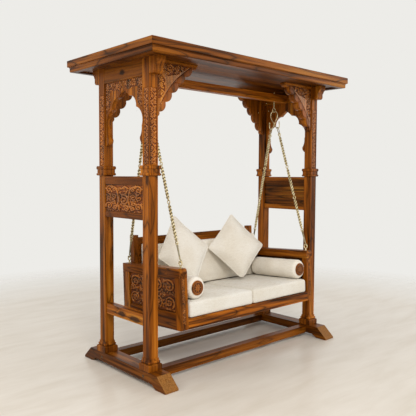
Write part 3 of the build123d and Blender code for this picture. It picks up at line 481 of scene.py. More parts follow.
class Relief:
    """Carved ornament as heights over a flat board, in millimetres, u across and v up."""

    def __init__(self, u_limits, v_limits, step):
        self.u = np.arange(u_limits[0], u_limits[1] + step / 2, step)
        self.v = np.arange(v_limits[0], v_limits[1] + step / 2, step)
        self.height = np.zeros((len(self.v), len(self.u)))
        self.keep = np.ones(self.height.shape, bool)
        self.pale = np.zeros(self.height.shape)

    def dab(self, u, v, radius, height):
        """One round dome."""
        first_u, last_u = np.searchsorted(self.u, (u - radius, u + radius))
        first_v, last_v = np.searchsorted(self.v, (v - radius, v + radius))
        if first_u == last_u or first_v == last_v:
            return
        away = (self.u[None, first_u:last_u] - u) ** 2 + (self.v[first_v:last_v, None] - v) ** 2
        dome = height * np.sqrt(np.clip(1 - away / radius**2, 0, 1))
        patch = self.height[first_v:last_v, first_u:last_u]
        np.maximum(patch, dome, out=patch)

    def stroke(self, points, widths, height):
        """A rounded ridge along points, its half width running through the given widths."""
        pace, thinnest = 1.2, 0.8
        points = np.asarray(points, float)
        along = np.concatenate(([0], np.cumsum(np.hypot(*np.diff(points, axis=0).T))))
        at = np.linspace(0, 1, max(2, int(along[-1] / pace)))
        us = np.interp(at * along[-1], along, points[:, 0])
        vs = np.interp(at * along[-1], along, points[:, 1])
        ws = np.interp(at, np.linspace(0, 1, len(widths)), widths)
        widest = max(widths)
        for u, v, w in zip(us, vs, ws):
            self.dab(u, v, max(w, thinnest), height * (w / widest) ** 0.4 if w > 0 else 0)

    def leaf(self, root, angle, length, width, height, bend=0.4):
        """A leaf with a sunk midrib, curling sideways from its root."""
        t = np.linspace(0, 1, 9)
        turn = angle + bend * t
        step = length / 8
        us = root[0] + np.concatenate(([0], np.cumsum(step * np.cos(turn[1:]))))
        vs = root[1] + np.concatenate(([0], np.cumsum(step * np.sin(turn[1:]))))
        wide = width * np.sin(np.pi * np.clip(t, 0.04, 0.97) ** 0.8)
        for way in (-1, 1):
            side_u = us - way * 0.42 * wide * np.sin(turn)
            side_v = vs + way * 0.42 * wide * np.cos(turn)
            self.stroke(np.column_stack((side_u, side_v)), list(0.52 * wide), height)

    def scroll(self, centre, radius, start, turns, way, width, height, leaves):
        """A stem winding in to a bud, with leaves along its outer side."""
        t = np.linspace(0, 1, 40)
        reach = radius * (1 - 0.8 * t**0.85)
        turn = start + way * turns * TURN * t
        us = centre[0] + reach * np.cos(turn)
        vs = centre[1] + reach * np.sin(turn)
        self.stroke(np.column_stack((us, vs)), [width, 0.8 * width, 0.6 * width], height)
        self.dab(us[-1], vs[-1], 1.25 * width, height)
        for n in range(leaves):
            k = int(2 + 20 * n / leaves)
            outward = turn[k] + way * 0.9
            self.leaf((us[k], vs[k]), outward, 0.62 * radius, 0.8 * width + 1.5, 0.85 * height, -0.9 * way)

    def rosette(self, centre, radius, petals, height):
        """A flower: petals round a domed heart."""
        for n in range(petals):
            angle = TURN * n / petals
            root = (centre[0] + 0.2 * radius * np.cos(angle), centre[1] + 0.2 * radius * np.sin(angle))
            self.leaf(root, angle, 0.8 * radius, radius * 1.25 / petals + 1.2, 0.85 * height, 0.0)
        self.dab(*centre, 0.27 * radius, height)

    def shell(self, centre, along, long_radius, short_radius, height):
        """An oval pad, its long way lying along an angle."""
        u, v = np.meshgrid(self.u, self.v)
        run = (u - centre[0]) * math.cos(along) + (v - centre[1]) * math.sin(along)
        rise = (v - centre[1]) * math.cos(along) - (u - centre[0]) * math.sin(along)
        pad = height * np.sqrt(np.clip(1 - (run / long_radius) ** 2 - (rise / short_radius) ** 2, 0, 1))
        self.height = np.maximum(self.height, pad)

    def fill(self, spacing, size, height, seed):
        """Small leaves wherever the ground is still bare."""
        chance = np.random.default_rng(seed)
        rows = np.arange(self.v[0] + size * 0.6, self.v[-1] - size * 0.4, spacing)
        for row, v in enumerate(rows, 1):
            first = self.u[0] + size * 0.6 + spacing / 2 * (row % 2)
            for u in np.arange(first, self.u[-1] - size * 0.4, spacing):
                place = (u + chance.uniform(-0.2, 0.2) * spacing, v + chance.uniform(-0.2, 0.2) * spacing)
                angle = chance.uniform(0, TURN)
                i = min(np.searchsorted(self.u, place[0]), len(self.u) - 1)
                j = min(np.searchsorted(self.v, place[1]), len(self.v) - 1)
                if self.height[j, i] < 0.2 and self.keep[j, i]:
                    self.leaf(place, angle, size, 0.33 * size, 0.7 * height, 1.2)

    def softened(self, reach):
        """The heights averaged over a few cells each way, twice."""
        soft = self.height
        rows, columns = soft.shape
        span = 2 * reach + 1
        for _ in range(2):
            wider = np.pad(soft, reach, mode="edge")
            soft = sum(wider[i:i + rows, j:j + columns] for i in range(span) for j in range(span)) / span**2
        return soft

    def mesh(self, name, origin, across, out, base, material, body, stretch=1.0):
        """The carved skin as an object: origin, across and out place the upright board, in metres."""
        ring = np.pad(self.keep, 1)
        inner = self.keep & ring[:-2, 1:-1] & ring[2:, 1:-1] & ring[1:-1, :-2] & ring[1:-1, 2:]
        lift = np.where(inner, self.height + base, -0.4)
        u, v = np.meshgrid(self.u * stretch, self.v)
        origin, across, up, out = (np.array(value, float) for value in (origin, across, (0, 0, 1), out))
        points = origin + 0.001 * (u[..., None] * across + v[..., None] * up + lift[..., None] * out)
        points = placed(points, AXES[body]).reshape(-1, 3)
        kept = self.keep[:-1, :-1] & self.keep[1:, :-1] & self.keep[:-1, 1:] & self.keep[1:, 1:]
        number = np.arange(self.keep.size).reshape(self.keep.shape)
        corners = (number[:-1, :-1], number[:-1, 1:], number[1:, 1:], number[1:, :-1])
        quads = np.stack(corners, axis=-1)[kept]
        if np.dot(np.cross(across, up), out) < 0:
            quads = quads[:, ::-1]
        used = np.unique(quads)
        renumber = np.zeros(self.keep.size, int)
        renumber[used] = np.arange(len(used))
        made = add_object(name, points[used].tolist(), renumber[quads].tolist(), material, body, "wood")
        tallest = max(self.height.max(), 0.1)
        # The relief level that the carved wood reads: low in the hollows, where a point lies below its
        # softened surroundings, and high on the crests; the wood paints shade on the low parts and a
        # highlight on the high ones. Where pale is set, it gives the level flat instead.
        level = np.clip(0.4 + 0.3 * self.height / tallest + (self.height - self.softened(4)) / tallest, 0, 1)
        level = np.where(self.pale > 0, 0.62 * self.pale, level)
        add_values(made, "relief", level.reshape(-1)[used])


def side_panel_relief():
    """A coiled heart in the middle, and curled leaves on both sides, drawn narrow and stretched."""
    relief = Relief((-138, 138), (-89, 89), 1.25)
    relief.scroll((-4, -10), 37, 1.2, 1.55, 1, 8.0, 8.0, 2)
    relief.stroke([(-50, 66), (-42, 26), (-36, -12), (-44, -48), (-60, -72)], [6, 8, 7, 5], 7.0)
    relief.stroke([(-36, 66), (-10, 78), (16, 62), (34, 76)], [5, 7, 6, 5], 7.0)
    for u, v, radius, start, way in (
        (-108, 58, 27, 0.4, 1), (-70, 60, 18, 2.6, -1), (-112, 6, 22, 1.4, -1), (-72, 14, 20, 4.0, 1),
        (-76, -30, 19, 2.0, -1), (-108, -54, 28, 3.4, -1), (-62, -66, 18, 0.6, 1), (-20, -66, 19, 1.8, 1),
    ):
        relief.scroll((u, v), radius, start, 1.2, way, 6.2, 7.5, 2)
    right = relief.height[:, ::-1].copy()
    u, v = np.meshgrid(relief.u, relief.v)
    relief.height = np.maximum(np.where(u < 24, relief.height, 0), np.where(u > 28, right, 0))
    relief.fill(18, 20, 6.0, 3)
    return relief


def arm_panel_relief(length, rise):
    """Two rows of ringed scrolls with curled leaves inside and between them, drawn narrow and stretched."""
    relief = Relief((-length / 2, length / 2), (-rise / 2, rise / 2), 1.5)
    columns = 4
    pitch = length / columns
    radius = 0.44 * pitch
    for column in range(columns):
        middle = (column + 0.5) * pitch - length / 2
        way = 1 if column < columns / 2 else -1
        for tier in (-1, 1):
            centre = (middle, tier * 0.25 * rise)
            relief.scroll(centre, radius, math.pi / 2 * tier - way * 0.6, 1.5, way * tier, 6.6, 8.0, 0)
            for n in range(4):
                relief.leaf(centre, n * 1.57 + tier, 0.6 * radius, 6.4, 6.5, 0.9 * way)
    for column in range(columns + 1):
        relief.rosette((column * pitch - length / 2, 0), 16, 5, 6.5)
    relief.fill(19, 21, 6.0, 11)
    return relief


def vine_relief(width, length, repeat, height, seed):
    """A wavy stem with a flower and leaves in each bend, up a narrow strip."""
    low, high = -length / 2, length / 2
    relief = Relief((-width / 2, width / 2), (low, high), 1.6)
    swing = 0.26 * width
    v = np.linspace(low, high, 200)
    u = swing * np.sin(TURN * (v - low) / repeat)
    relief.stroke(np.column_stack((u, v)), [0.06 * width + 0.8], height * 0.9)
    for n in range(int(2 * length / repeat) + 1):
        middle = low + (n + 0.5) * repeat / 2
        if middle > high:
            break
        way = -1 if n % 2 else 1
        bend = (-way * 0.17 * width, middle)
        if n % 3:
            relief.rosette(bend, 0.27 * width, 5, height)
        else:
            relief.scroll(bend, 0.24 * width, n, 1.2, way, 0.075 * width, height, 3)
        for lean in (0.5, -0.5):
            root = (way * swing * 0.7, middle + lean * 0.3 * repeat)
            relief.leaf(root, math.pi / 2 * (1 - way) + lean * 1.6, 0.3 * width, 0.14 * width, height, -lean)
    relief.fill(0.24 * width, 0.3 * width, height, seed)
    return relief


def arch_outline():
    """One half of the cusped opening from the foot of the pendant to the apex, u across and v up."""
    scallops = lobed_line([(200, 1645), (140, 1768), (62, 1845)], (0, 1690), 0.24)
    return [(193, 1540), (180, 1572), (197, 1604)] + scallops + [(31, 1871), (0, 1890)]


def arch_relief():
    """Leaf clusters in the shoulders of the cusped arch, and strips of leaves down beside the posts."""
    relief = Relief((-217, 217), (1700, 1950), 1.7)
    u, v = np.meshgrid(relief.u, relief.v)
    near = distance(arch_outline(), np.abs(u), v)
    strip = (np.abs(u) > 158 - 0.06 * (1950 - v)) & (v > 1738)
    shoulder = (np.abs(u) < 170) & (np.abs(u) > 14) & (v > 1880 + 0.1 * np.abs(u))
    relief.keep = (strip | shoulder) & (near > 20) & (np.abs(u) < 214)
    relief.rosette((-72, 1918), 25, 7, 4.5)
    relief.scroll((-34, 1926), 17, 2.6, 1.2, -1, 4.0, 4.5, 3)
    relief.scroll((-118, 1926), 21, 0.6, 1.3, 1, 4.2, 4.5, 4)
    relief.rosette((-186, 1916), 28, 7, 4.5)
    relief.scroll((-180, 1866), 24, 1.0, 1.3, -1, 4.2, 4.5, 4)
    relief.rosette((-190, 1820), 20, 6, 4.5)
    relief.scroll((-186, 1776), 20, 4.0, 1.3, 1, 4.0, 4.5, 4)
    for lean in (-0.6, 0.0, 0.6):
        relief.leaf((-187, 1756), 4.7 + lean, 22, 6, 4.0, 0.0)
    relief.height = np.maximum(relief.height, relief.height[:, ::-1])
    relief.fill(15, 18, 4.5, 21)
    relief.shell((0, 1922), math.pi / 2, 31, 4.0, 2.2)
    middle = np.abs(u) < 5
    relief.keep |= middle & (v > 1893) & (v < 1949)
    relief.pale = np.where(middle, 1.0, 0.0)
    return relief


BRACKET_RIB = [(513, 2036), (575, 1994), (632, 1949), (678, 1903), (713, 1858), (742, 1815), (764, 1776)]
BRACKET_CORNER = (790.5, 2044)


def bracket_notches():
    """Where the lobes of the scalloped edge meet, from the tip at the canopy down to the foot at the post."""
    lobes = 5
    notches = [(461, 2044)]
    for n in range(lobes + 1):
        t = n / lobes
        bow = 52 * t * (1 - t)
        notches.append((500 + 271 * t + 0.741 * bow, 2030 - 299 * t + 0.672 * bow))
    return notches + [(790.5, 1700)]


def bracket_relief():
    """Leaves in the corner by the post and canopy, a smooth band, a shallow rib darkened with painted shade,
    and a pad in each lobe.
    """
    relief = Relief((458, 789), (1703, 2043), 1.7)
    u, v = np.meshgrid(relief.u, relief.v)
    notches = bracket_notches()
    edge = lobed_line(notches, BRACKET_CORNER, 0.26)
    shape = inside(edge + [BRACKET_CORNER], u, v)
    relief.keep = shape & (distance(edge, u, v) > 3.5) & (u < 787) & (v < 2041)
    rib = distance(BRACKET_RIB, u, v)
    above = inside(BRACKET_RIB + [(764, 1700), (800, 1700), (800, 2060), (513, 2060)], u, v)
    leafy = above & (rib > 17) & ((v > 1962 + 0.25 * (700 - u)) | (u > 728)) & (v > 1815)
    relief.rosette((744, 2004), 30, 8, 5.5)
    relief.scroll((690, 2012), 25, 3.4, 1.3, -1, 5.0, 5.5, 4)
    relief.scroll((634, 2018), 21, 2.2, 1.3, 1, 4.6, 5.5, 4)
    relief.rosette((588, 2024), 15, 6, 5.0)
    relief.scroll((756, 1952), 24, 4.6, 1.3, 1, 5.0, 5.5, 4)
    relief.rosette((760, 1900), 22, 7, 5.0)
    relief.scroll((764, 1852), 18, 1.0, 1.2, -1, 4.2, 5.0, 3)
    for lean in (-0.5, 0.0, 0.5):
        relief.leaf((742, 1990), 3.95 + lean, 58, 11, 5.0, 0.0)
    kept, relief.keep = relief.keep, leafy
    relief.fill(17, 20, 5.0, 31)
    relief.keep = kept
    band = np.where(above, np.clip(rib * 0.35, 0, 1.8), 0)
    relief.height = np.where(leafy, relief.height, band)
    for (u0, v0), (u1, v1) in zip(notches[1:], notches[2:]):
        chord = math.hypot(u1 - u0, v1 - v0)
        inward = ((v0 - v1) / chord, (u1 - u0) / chord)
        centre = ((u0 + u1) / 2 + 2 * inward[0], (v0 + v1) / 2 + 2 * inward[1])
        held = relief.height
        relief.shell(centre, math.atan2(v1 - v0, u1 - u0), 0.52 * chord, 33, 5.0)
        relief.height = np.where(above, held, relief.height)
    # Along the rib the level is worked out from the heights, so painted shade darkens its groove; the rest
    # outside the leaves gets a flat level, lower on the lobes below the rib.
    relief.pale = np.where(leafy, 0.0, np.clip((rib - 1.5) / 3, 0, 1) * np.where(above, 1.0, 0.75))
    return relief


# ---- carved pieces on the frame ----
def carve_side_panels(material):
    relief = side_panel_relief()
    low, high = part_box("side_carved_panels")
    for side, word in SIDES:
        relief.mesh(
            f"{word}_side_panel_carving", (side * high[0], 0, (low[2] + high[2]) / 2), (0, -side, 0),
            (side, 0, 0), 0.3, material, "stand", 217 / 138,
        )


def carve_posts(material):
    """The recesses above the collars, on each post's outer side and outer end."""
    low, high, depth, margin = 1.400, 1.876, 0.003, 0.002
    middle, face = (low + high) / 2, POST_HALF - depth
    relief = vine_relief(53, (high - low - 2 * margin) * 1000, 80, 2.9, 5)
    for side, end, corner in CORNERS:
        post = f"{corner}_post"
        outer_side = (side * (POST_X + face), end * POST_Y, middle)
        outer_end = (side * POST_X, end * (POST_Y + face), middle)
        relief.mesh(f"{post}_side_carving", outer_side, (0, 1, 0), (side, 0, 0), 0.2, material, "stand")
        relief.mesh(f"{post}_end_carving", outer_end, (1, 0, 0), (0, end, 0), 0.2, material, "stand")


def carve_arches(material):
    relief = arch_relief()
    for side, word in SIDES:
        low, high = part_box(f"{word}_arch_panel")
        face = (side * max(abs(low[0]), abs(high[0])), 0, 0)
        relief.mesh(f"{word}_arch_carving", face, (0, 1, 0), (side, 0, 0), 0.3, material, "stand")


def carve_brackets(material):
    relief = bracket_relief()
    for side, end, corner in CORNERS:
        low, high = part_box(f"{corner}_bracket")
        face = (0, end * max(abs(low[1]), abs(high[1])), 0)
        relief.mesh(f"{corner}_bracket_carving", face, (side, 0, 0), (0, end, 0), 0.3, material, "stand")


def carve_arms(material):
    """The scrolled outer panels of the bench's arms, and the leaf strips up their front stiles."""
    low_y, high_y, low_z, high_z, margin = -0.271, 0.246, 0.430, 0.657, 0.007
    stretch = 1.3
    length, rise = ((high - low - 2 * margin) * 1000 for low, high in ((low_y, high_y), (low_z, high_z)))
    panel = arm_panel_relief(length / stretch, rise)
    strip = vine_relief(25, 296, 44, 4.2, 8)
    for side, word in SIDES:
        panel.mesh(
            f"{word}_arm_carving", (side * 0.684, (low_y + high_y) / 2, (low_z + high_z) / 2),
            (0, 1, 0), (side, 0, 0), 0.3, material, "bench", stretch,
        )
        strip.mesh(
            f"{word}_arm_leaf_strip", (side * 0.660, -0.3135, 0.5053), (1, 0, 0), (0, -1, 0), 0.2,
            material, "bench",
        )


def carve_discs(material):
    """The carved flowers on the wooden discs at the bolsters' front ends."""
    relief = Relief((-47, 47), (-47, 47), 1.4)
    relief.rosette((0, 0), 30, 9, 3.4)
    ring = [(36 * math.cos(0.1 * n), 36 * math.sin(0.1 * n)) for n in range(64)]
    relief.stroke(ring, [2.6, 2.6], 2.4)
    for n in range(20):
        angle = n * math.pi / 10
        relief.dab(42.5 * math.cos(angle), 42.5 * math.sin(angle), 2.8, 2.0)
    u, v = np.meshgrid(relief.u, relief.v)
    relief.keep = np.hypot(u, v) < 46
    for word, x in BOLSTER_X.items():
        face = (x, -0.306, BOLSTER_Z)
        relief.mesh(f"{word}_disc_carving", face, (1, 0, 0), (0, -1, 0), 0.2, material, "bench")


# ---- chains, in metres on the bench's own axes ----
CHAIN_TOP = (0.655, 0.036, 1.728)
CHAIN_FOOT = (0.655, 0.288, 0.764)
BEAD_DROPS = (0.0568, 0.339, 0.6026, 0.8765)
BEAD_RADIUS = 0.01125
STRAND_RADIUS = 0.0068
STRAND_SPREAD = 0.0047
TWIST_PITCH = 0.044
RING_RADIUS = 0.0116
RING_WIRE = 0.0034
LOWER_BAR_DROPS = (0.888, 0.967)
LOWER_BAR_RADII = (0.0066, 0.0050)


def bar(start, end, steps, around, reach):
    """Points and faces of a closed bar, given its reach from the axis at each share and angle."""
    axis = (end - start).normalized()
    side = axis.orthogonal().normalized()
    other = axis.cross(side)
    points = []
    for step in range(steps + 1):
        share = step / steps
        for k in range(around):
            angle = TURN * k / around
            out = math.cos(angle) * side + math.sin(angle) * other
            points.append(start.lerp(end, share) + reach(share, angle) * out)
    ends = [tuple(reversed(range(around))), tuple(range(steps * around, (steps + 1) * around))]
    return points, ring_quads(steps + 1, around) + ends


def twisted_bar(start, end):
    """Points, faces and crown heights of two round strands laid round each other, drawn in at the ends."""
    length = (end - start).length
    crowns = []

    def reach(share, angle):
        lean = (angle - TURN * length * share / TWIST_PITCH) % math.pi - math.pi / 2
        crowns.append(1 - abs(lean) * 2 / math.pi)
        from_end = min(share, 1 - share) * length
        taper = 0.42 + 0.58 * min(1.0, from_end / 0.014) ** 1.5
        round_strand = math.sqrt(max(STRAND_RADIUS**2 - (STRAND_SPREAD * math.sin(lean)) ** 2, 0))
        return taper * (STRAND_SPREAD * math.cos(lean) + round_strand)

    points, faces = bar(start, end, max(6, int(length / 0.0016)), 28, reach)
    return points, faces, crowns


def tapered_bar(start, end):
    """Points and faces of a forged round bar with eased ends."""
    first, last = LOWER_BAR_RADII

    def reach(share, _):
        eased = min(1.0, 0.7 + 6 * min(share, 1 - share)) * (1 + 0.03 * math.sin(17 * share))
        return (first + (last - first) * share) * eased

    return bar(start, end, 20, 18, reach)


def forged_ring(middle, down, across):
    """Points and faces of a round ring in the plane of two directions, thicker at its top and foot."""
    normal = down.cross(across)
    points = []
    around, about = 40, 14
    for n in range(around):
        turn = TURN * n / around
        out = math.cos(turn) * down + math.sin(turn) * across
        thick = RING_WIRE * (1 + 0.35 * max(0.0, abs(math.cos(turn)) - 0.8) / 0.2)
        for k in range(about):
            angle = TURN * k / about
            reach = RING_RADIUS + thick * math.cos(angle)
            points.append(middle + out * reach + normal * thick * math.sin(angle))
    return points, ring_quads(around, about, closed=True)


def twist_chains():
    """Each strand's three rope-twisted rods, the forged rings that link them, and its lower bar."""
    twisted = brass_material("twisted_brass", True)
    bright = brass_material("ring_brass", shade=0.95)
    dark = brass_material("bar_brass", shade=0.36)
    for side, word in SIDES:
        rods, crowns, rings, bars = [], [], [], []
        for end, _ in ENDS:
            top, foot = (HANG @ Vector((side * x, end * y, z)) for x, y, z in (CHAIN_TOP, CHAIN_FOOT))
            down = (foot - top).normalized()
            across = down.cross(Vector((1, 0, 0))).normalized()
            for above, below in zip(BEAD_DROPS, BEAD_DROPS[1:]):
                ends = (top + down * drop for drop in (above + BEAD_RADIUS, below - BEAD_RADIUS))
                points, faces, rises = twisted_bar(*ends)
                rods.append((points, faces))
                crowns += rises
            rings += [forged_ring(top + down * drop, down, across) for drop in BEAD_DROPS]
            bars.append(tapered_bar(*(top + down * drop for drop in LOWER_BAR_DROPS)))
        made = add_object(f"{word}_linking_rings", *joined(rings), bright, f"{word}_chains", "brass")
        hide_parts(f"{word}_chain_beads")
        add_object(f"{word}_lower_bars", *joined(bars), dark, f"{word}_chains", "brass")
        made = add_object(f"{word}_twisted_rods", *joined(rods), twisted, f"{word}_chains", "brass")
        add_values(made, "crown", crowns)
        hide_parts(f"{word}_chain_rods")


# ---- soft goods, in metres on the bench's own axes ----
BOLSTER_X = {"left": -0.530, "right": 0.550}
BOLSTER_Z = 0.5755
PILLOW_CELLS = 40


def swell(points, faces, pressure, frames, cap):
    """The points of a closed cloth blown up by pressure, with each one's move capped."""
    made = mesh_object("swelling", points.tolist(), faces)
    settings = adjust(
        made.modifiers.new("cloth", "CLOTH").settings, quality=5, mass=0.25, tension_stiffness=12,
        compression_stiffness=12, shear_stiffness=7, bending_stiffness=0.5, use_pressure=True,
        uniform_pressure_force=pressure,
    )
    settings.effector_weights.gravity = 0
    scene = bpy.context.scene
    for number in range(1, frames + 1):
        scene.frame_set(number)
    swollen = np.empty(points.size)
    cloth = made.evaluated_get(bpy.context.evaluated_depsgraph_get())
    cloth.data.vertices.foreach_get("co", swollen)
    bpy.data.meshes.remove(made.data)
    scene.frame_set(1)
    moved = swollen.reshape(-1, 3) - points
    far = np.linalg.norm(moved, axis=1, keepdims=True)
    return points + moved * np.minimum(1, cap / np.maximum(far, 1e-9))


def fitted(points, size):
    """The points scaled along each axis to fill a size about their middle."""
    low, high = points.min(axis=0), points.max(axis=0)
    return (points - (low + high) / 2) * (np.array(size) / (high - low))


def tube(line, radius):
    """Points and faces of a welt round a closed loop of points that lies square to y."""
    around = 8
    ahead = np.roll(line, -1, axis=0) - np.roll(line, 1, axis=0)
    ahead /= np.linalg.norm(ahead, axis=1, keepdims=True)
    side = np.cross(ahead, (0.0, 1.0, 0.0))
    side /= np.linalg.norm(side, axis=1, keepdims=True)
    other = np.cross(ahead, side)
    angles = [TURN * k / around for k in range(around)]
    rings = [line + radius * (math.cos(angle) * side + math.sin(angle) * other) for angle in angles]
    return np.stack(rings, axis=1).reshape(-1, 3), ring_quads(len(line), around, closed=True)


def box_grid(size, cell, rounding):
    """A closed box of even cells with rounded edges: its points as an array, and its faces."""
    counts = [max(3, round(length / cell)) for length in size]
    index, faces = {}, []
    for axis in range(3):
        a, b = (n for n in range(3) if n != axis)
        for end in (0, counts[axis]):
            outward = (end > 0) == (axis != 1)
            for i in range(counts[a]):
                for j in range(counts[b]):
                    quad = []
                    for di, dj in ((0, 0), (1, 0), (1, 1), (0, 1)):
                        key = [0, 0, 0]
                        key[axis], key[a], key[b] = end, i + di, j + dj
                        quad.append(index.setdefault(tuple(key), len(index)))
                    faces.append(tuple(quad if outward else reversed(quad)))
    half = size / 2
    points = (np.array(list(index), float) / np.array(counts) * 2 - 1) * half
    core = np.clip(points, -(half - rounding), half - rounding)
    out = points - core
    far = np.linalg.norm(out, axis=1, keepdims=True)
    return core + out * np.where(far > 0, rounding / np.maximum(far, 1e-9), 0), faces


def finish_cloth(name, points, faces, matrix, material, body, node_name):
    """The finished soft piece: placed and smoothed once, with the node it stands in for hidden."""
    made = add_object(name, placed(points, matrix).tolist(), faces, material, body, "linen")
    smooth = made.modifiers.new("smooth", "SUBSURF")
    smooth.levels = smooth.render_levels = 1
    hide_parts(node_name)


def cushion(name, low, high, node_name, material, crown):
    """A box cushion filling its place on the bench: crowned faces, soft edges, flat where it rests."""
    cell, rounding, lower_edge = 0.013, 0.017, 0.03
    low, high = np.array(low), np.array(high)
    size = high - low
    points, faces = box_grid(size - 2 * crown, cell, rounding)
    points = swell(points, faces, 4.0, 20, 2.4 * crown)
    points = fitted(points, size)
    points[:, 2] = np.maximum(points[:, 2], 0.6 * crown - size[2] / 2)
    points = fitted(points, size)
    above = np.maximum(points[:, 2] + size[2] / 2, 0)
    drawn_down = lower_edge * (above / lower_edge) ** 1.9
    points[:, 2] = np.where(above < lower_edge, drawn_down, above) - size[2] / 2
    place = HANG @ Matrix.Translation((low + high) / 2)
    finish_cloth(name, points, faces, place, material, "bench", node_name)


def bolster(word, material, seed):
    """A round bolster, its cloth drawn in small folds over each rounded end."""
    radius, front, back, rounding = 0.075, -0.300, 0.160, 0.026
    around, straights, curves = 72, 36, 6
    rings = [(front, 0.0), (front, 0.022), (front, 0.040)]
    for k in range(curves + 1):
        angle = math.pi / 2 * k / curves
        rings.append((front + rounding * (1 - math.cos(angle)), radius - rounding * (1 - math.sin(angle))))
    straight = np.linspace(front + rounding, back - rounding, straights)
    rings += [(y, radius) for y in straight[1:-1]] + [(front + back - y, r) for y, r in reversed(rings)]
    points = []
    for y, r in rings:
        from_end = min(y - front, back - y)
        gather = 0.0011 * math.exp(-((from_end - 0.014) / 0.022) ** 2) * min(1, r / 0.04)
        slack = 0.0009 * math.sin(37 * y + seed) + 0.0006 * math.sin(91 * y + 2 * seed)
        for k in range(around):
            angle = TURN * k / around
            wave = gather * (math.cos(18 * angle + seed) + 0.5 * math.cos(31 * angle))
            sag = slack * math.cos(angle + seed) * (r / radius)
            reach = min(r + wave + sag, radius) if r > 0 else 0.0
            points.append((reach * math.cos(angle), y, reach * math.sin(angle)))
    place = HANG @ Matrix.Translation((BOLSTER_X[word], 0, BOLSTER_Z))
    finish_cloth(
        f"{word}_bolster_cloth", np.array(points), ring_quads(len(rings), around), place, material,
        "bench", f"{word}_bolster",
    )


def pillow_place(x, y, z, yaw, roll):
    """Where a thrown pillow stands on its corner, leaning back."""
    lean = 16
    return HANG @ posed((x, y, z), (yaw, "Z"), (-lean, "X"), (45 + roll, "Y"))


def pillow_key(face, i, j):
    """The key of a point on one of a pillow's two cloths, which share the points of their rim."""
    on_rim = i in (0, PILLOW_CELLS) or j in (0, PILLOW_CELLS)
    return (0 if on_rim else face, i, j)


def pillow_grid(side, thickness):
    """Two domed square cloths sewn at the rim: numbers by key, points, faces and shares of the side."""
    t = np.linspace(-1, 1, PILLOW_CELLS + 1)
    index, points, faces, shares = {}, [], [], []
    for face in (-1, 1):
        for i, u in enumerate(t):
            for j, v in enumerate(t):
                key = pillow_key(face, i, j)
                if key not in index:
                    index[key] = len(points)
                    full = max(0.0, (1 - abs(u) ** 2.4) * (1 - abs(v) ** 2.4)) ** 0.6
                    points.append((u * side / 2, key[0] * 0.8 * thickness / 2 * full, v * side / 2))
                    shares.append((u, v))
        for i in range(PILLOW_CELLS):
            for j in range(PILLOW_CELLS):
                corners = ((i, j), (i + 1, j), (i + 1, j + 1), (i, j + 1))
                quad = [index[pillow_key(face, *corner)] for corner in corners]
                faces.append(tuple(quad if face < 0 else reversed(quad)))
    return index, np.array(points), faces, np.array(shares)


def evened(points, index):
    """The two cloths of a pillow with the small creases of the simulation smoothed away."""
    span = range(PILLOW_CELLS + 1)
    for face in (-1, 1):
        order = np.array([[index[pillow_key(face, i, j)] for j in span] for i in span])
        grid = points[order]
        for _ in range(30):
            around = grid[:-2, 1:-1] + grid[2:, 1:-1] + grid[1:-1, :-2] + grid[1:-1, 2:]
            grid[1:-1, 1:-1] = 0.5 * grid[1:-1, 1:-1] + 0.125 * around
        points[order] = grid
    return points


def pillow(word, side, place, material):
    """A knife-edged square pillow: two cloths sewn round a welted edge and blown up, with blunted corners."""
    thickness, welt = 0.104, 0.0040
    index, points, faces, shares = pillow_grid(side, thickness)
    points = swell(points, faces, 5.0, 22, 0.024)
    points = evened(points, index)
    u, v = shares.T
    blunt = 0.26 * np.clip(np.abs(u) + np.abs(v) - 1.86, 0, None) + 0.22 * np.clip(u - v - 1.7, 0, None)
    for axis, along, aside in ((0, u, v), (2, v, u)):
        points[:, axis] -= np.sign(along) * blunt * side / 2
        points[:, axis] *= 1 - 0.02 * (1 - aside**2) * np.abs(along) ** 3
    points = fitted(points, (side - 2 * welt, thickness, side - 2 * welt))
    rim = [(i, 0) for i in range(PILLOW_CELLS)] + [(PILLOW_CELLS, j) for j in range(PILLOW_CELLS)]
    rim += [(PILLOW_CELLS - i, PILLOW_CELLS - j) for i, j in rim]
    edge = np.array([points[index[(0, i, j)]] for i, j in rim])
    points, faces = joined(((points, faces), tube(edge, welt)))
    finish_cloth(
        f"{word}_thrown_pillow", np.array(points), faces, place, material,
        f"{word}_pillow_body", f"{word}_pillow",
    )


def add_soft_goods():
    # painted shade: the seat linen is made darker to tone down the strong lamp light on the cushions' front
    # faces
    seat = linen_material("seat_linen", (231, 229, 223), 0.3)
    for word, first, last in (("left", -0.610, -0.009), ("right", -0.005, 0.610)):
        low, high = (first, -0.316, 0.3885), (last, 0.266, 0.500)
        cushion(f"{word}_seat_pad", low, high, f"{word}_seat_cushion", seat, 0.004)
    back = linen_material("back_linen", (238, 234, 226), 1.1)
    cushion("back_pad", (-0.577, 0.170, 0.5005), (0.577, 0.273, 0.850), "back_cushion", back, 0.007)
    roll = linen_material("bolster_linen", (240, 236, 228), 2.4)
    bolster("left", roll, 0.4)
    bolster("right", roll, 2.1)
    thrown = linen_material("pillow_linen", (234, 231, 224), 3.7)
    pillow("left", 0.400, pillow_place(-0.298, 0.094, 0.7747, 6.8, -3.7), thrown)
    pillow("right", 0.389, pillow_place(0.252, 0.095, 0.7671, -9.2, 1.6), thrown)
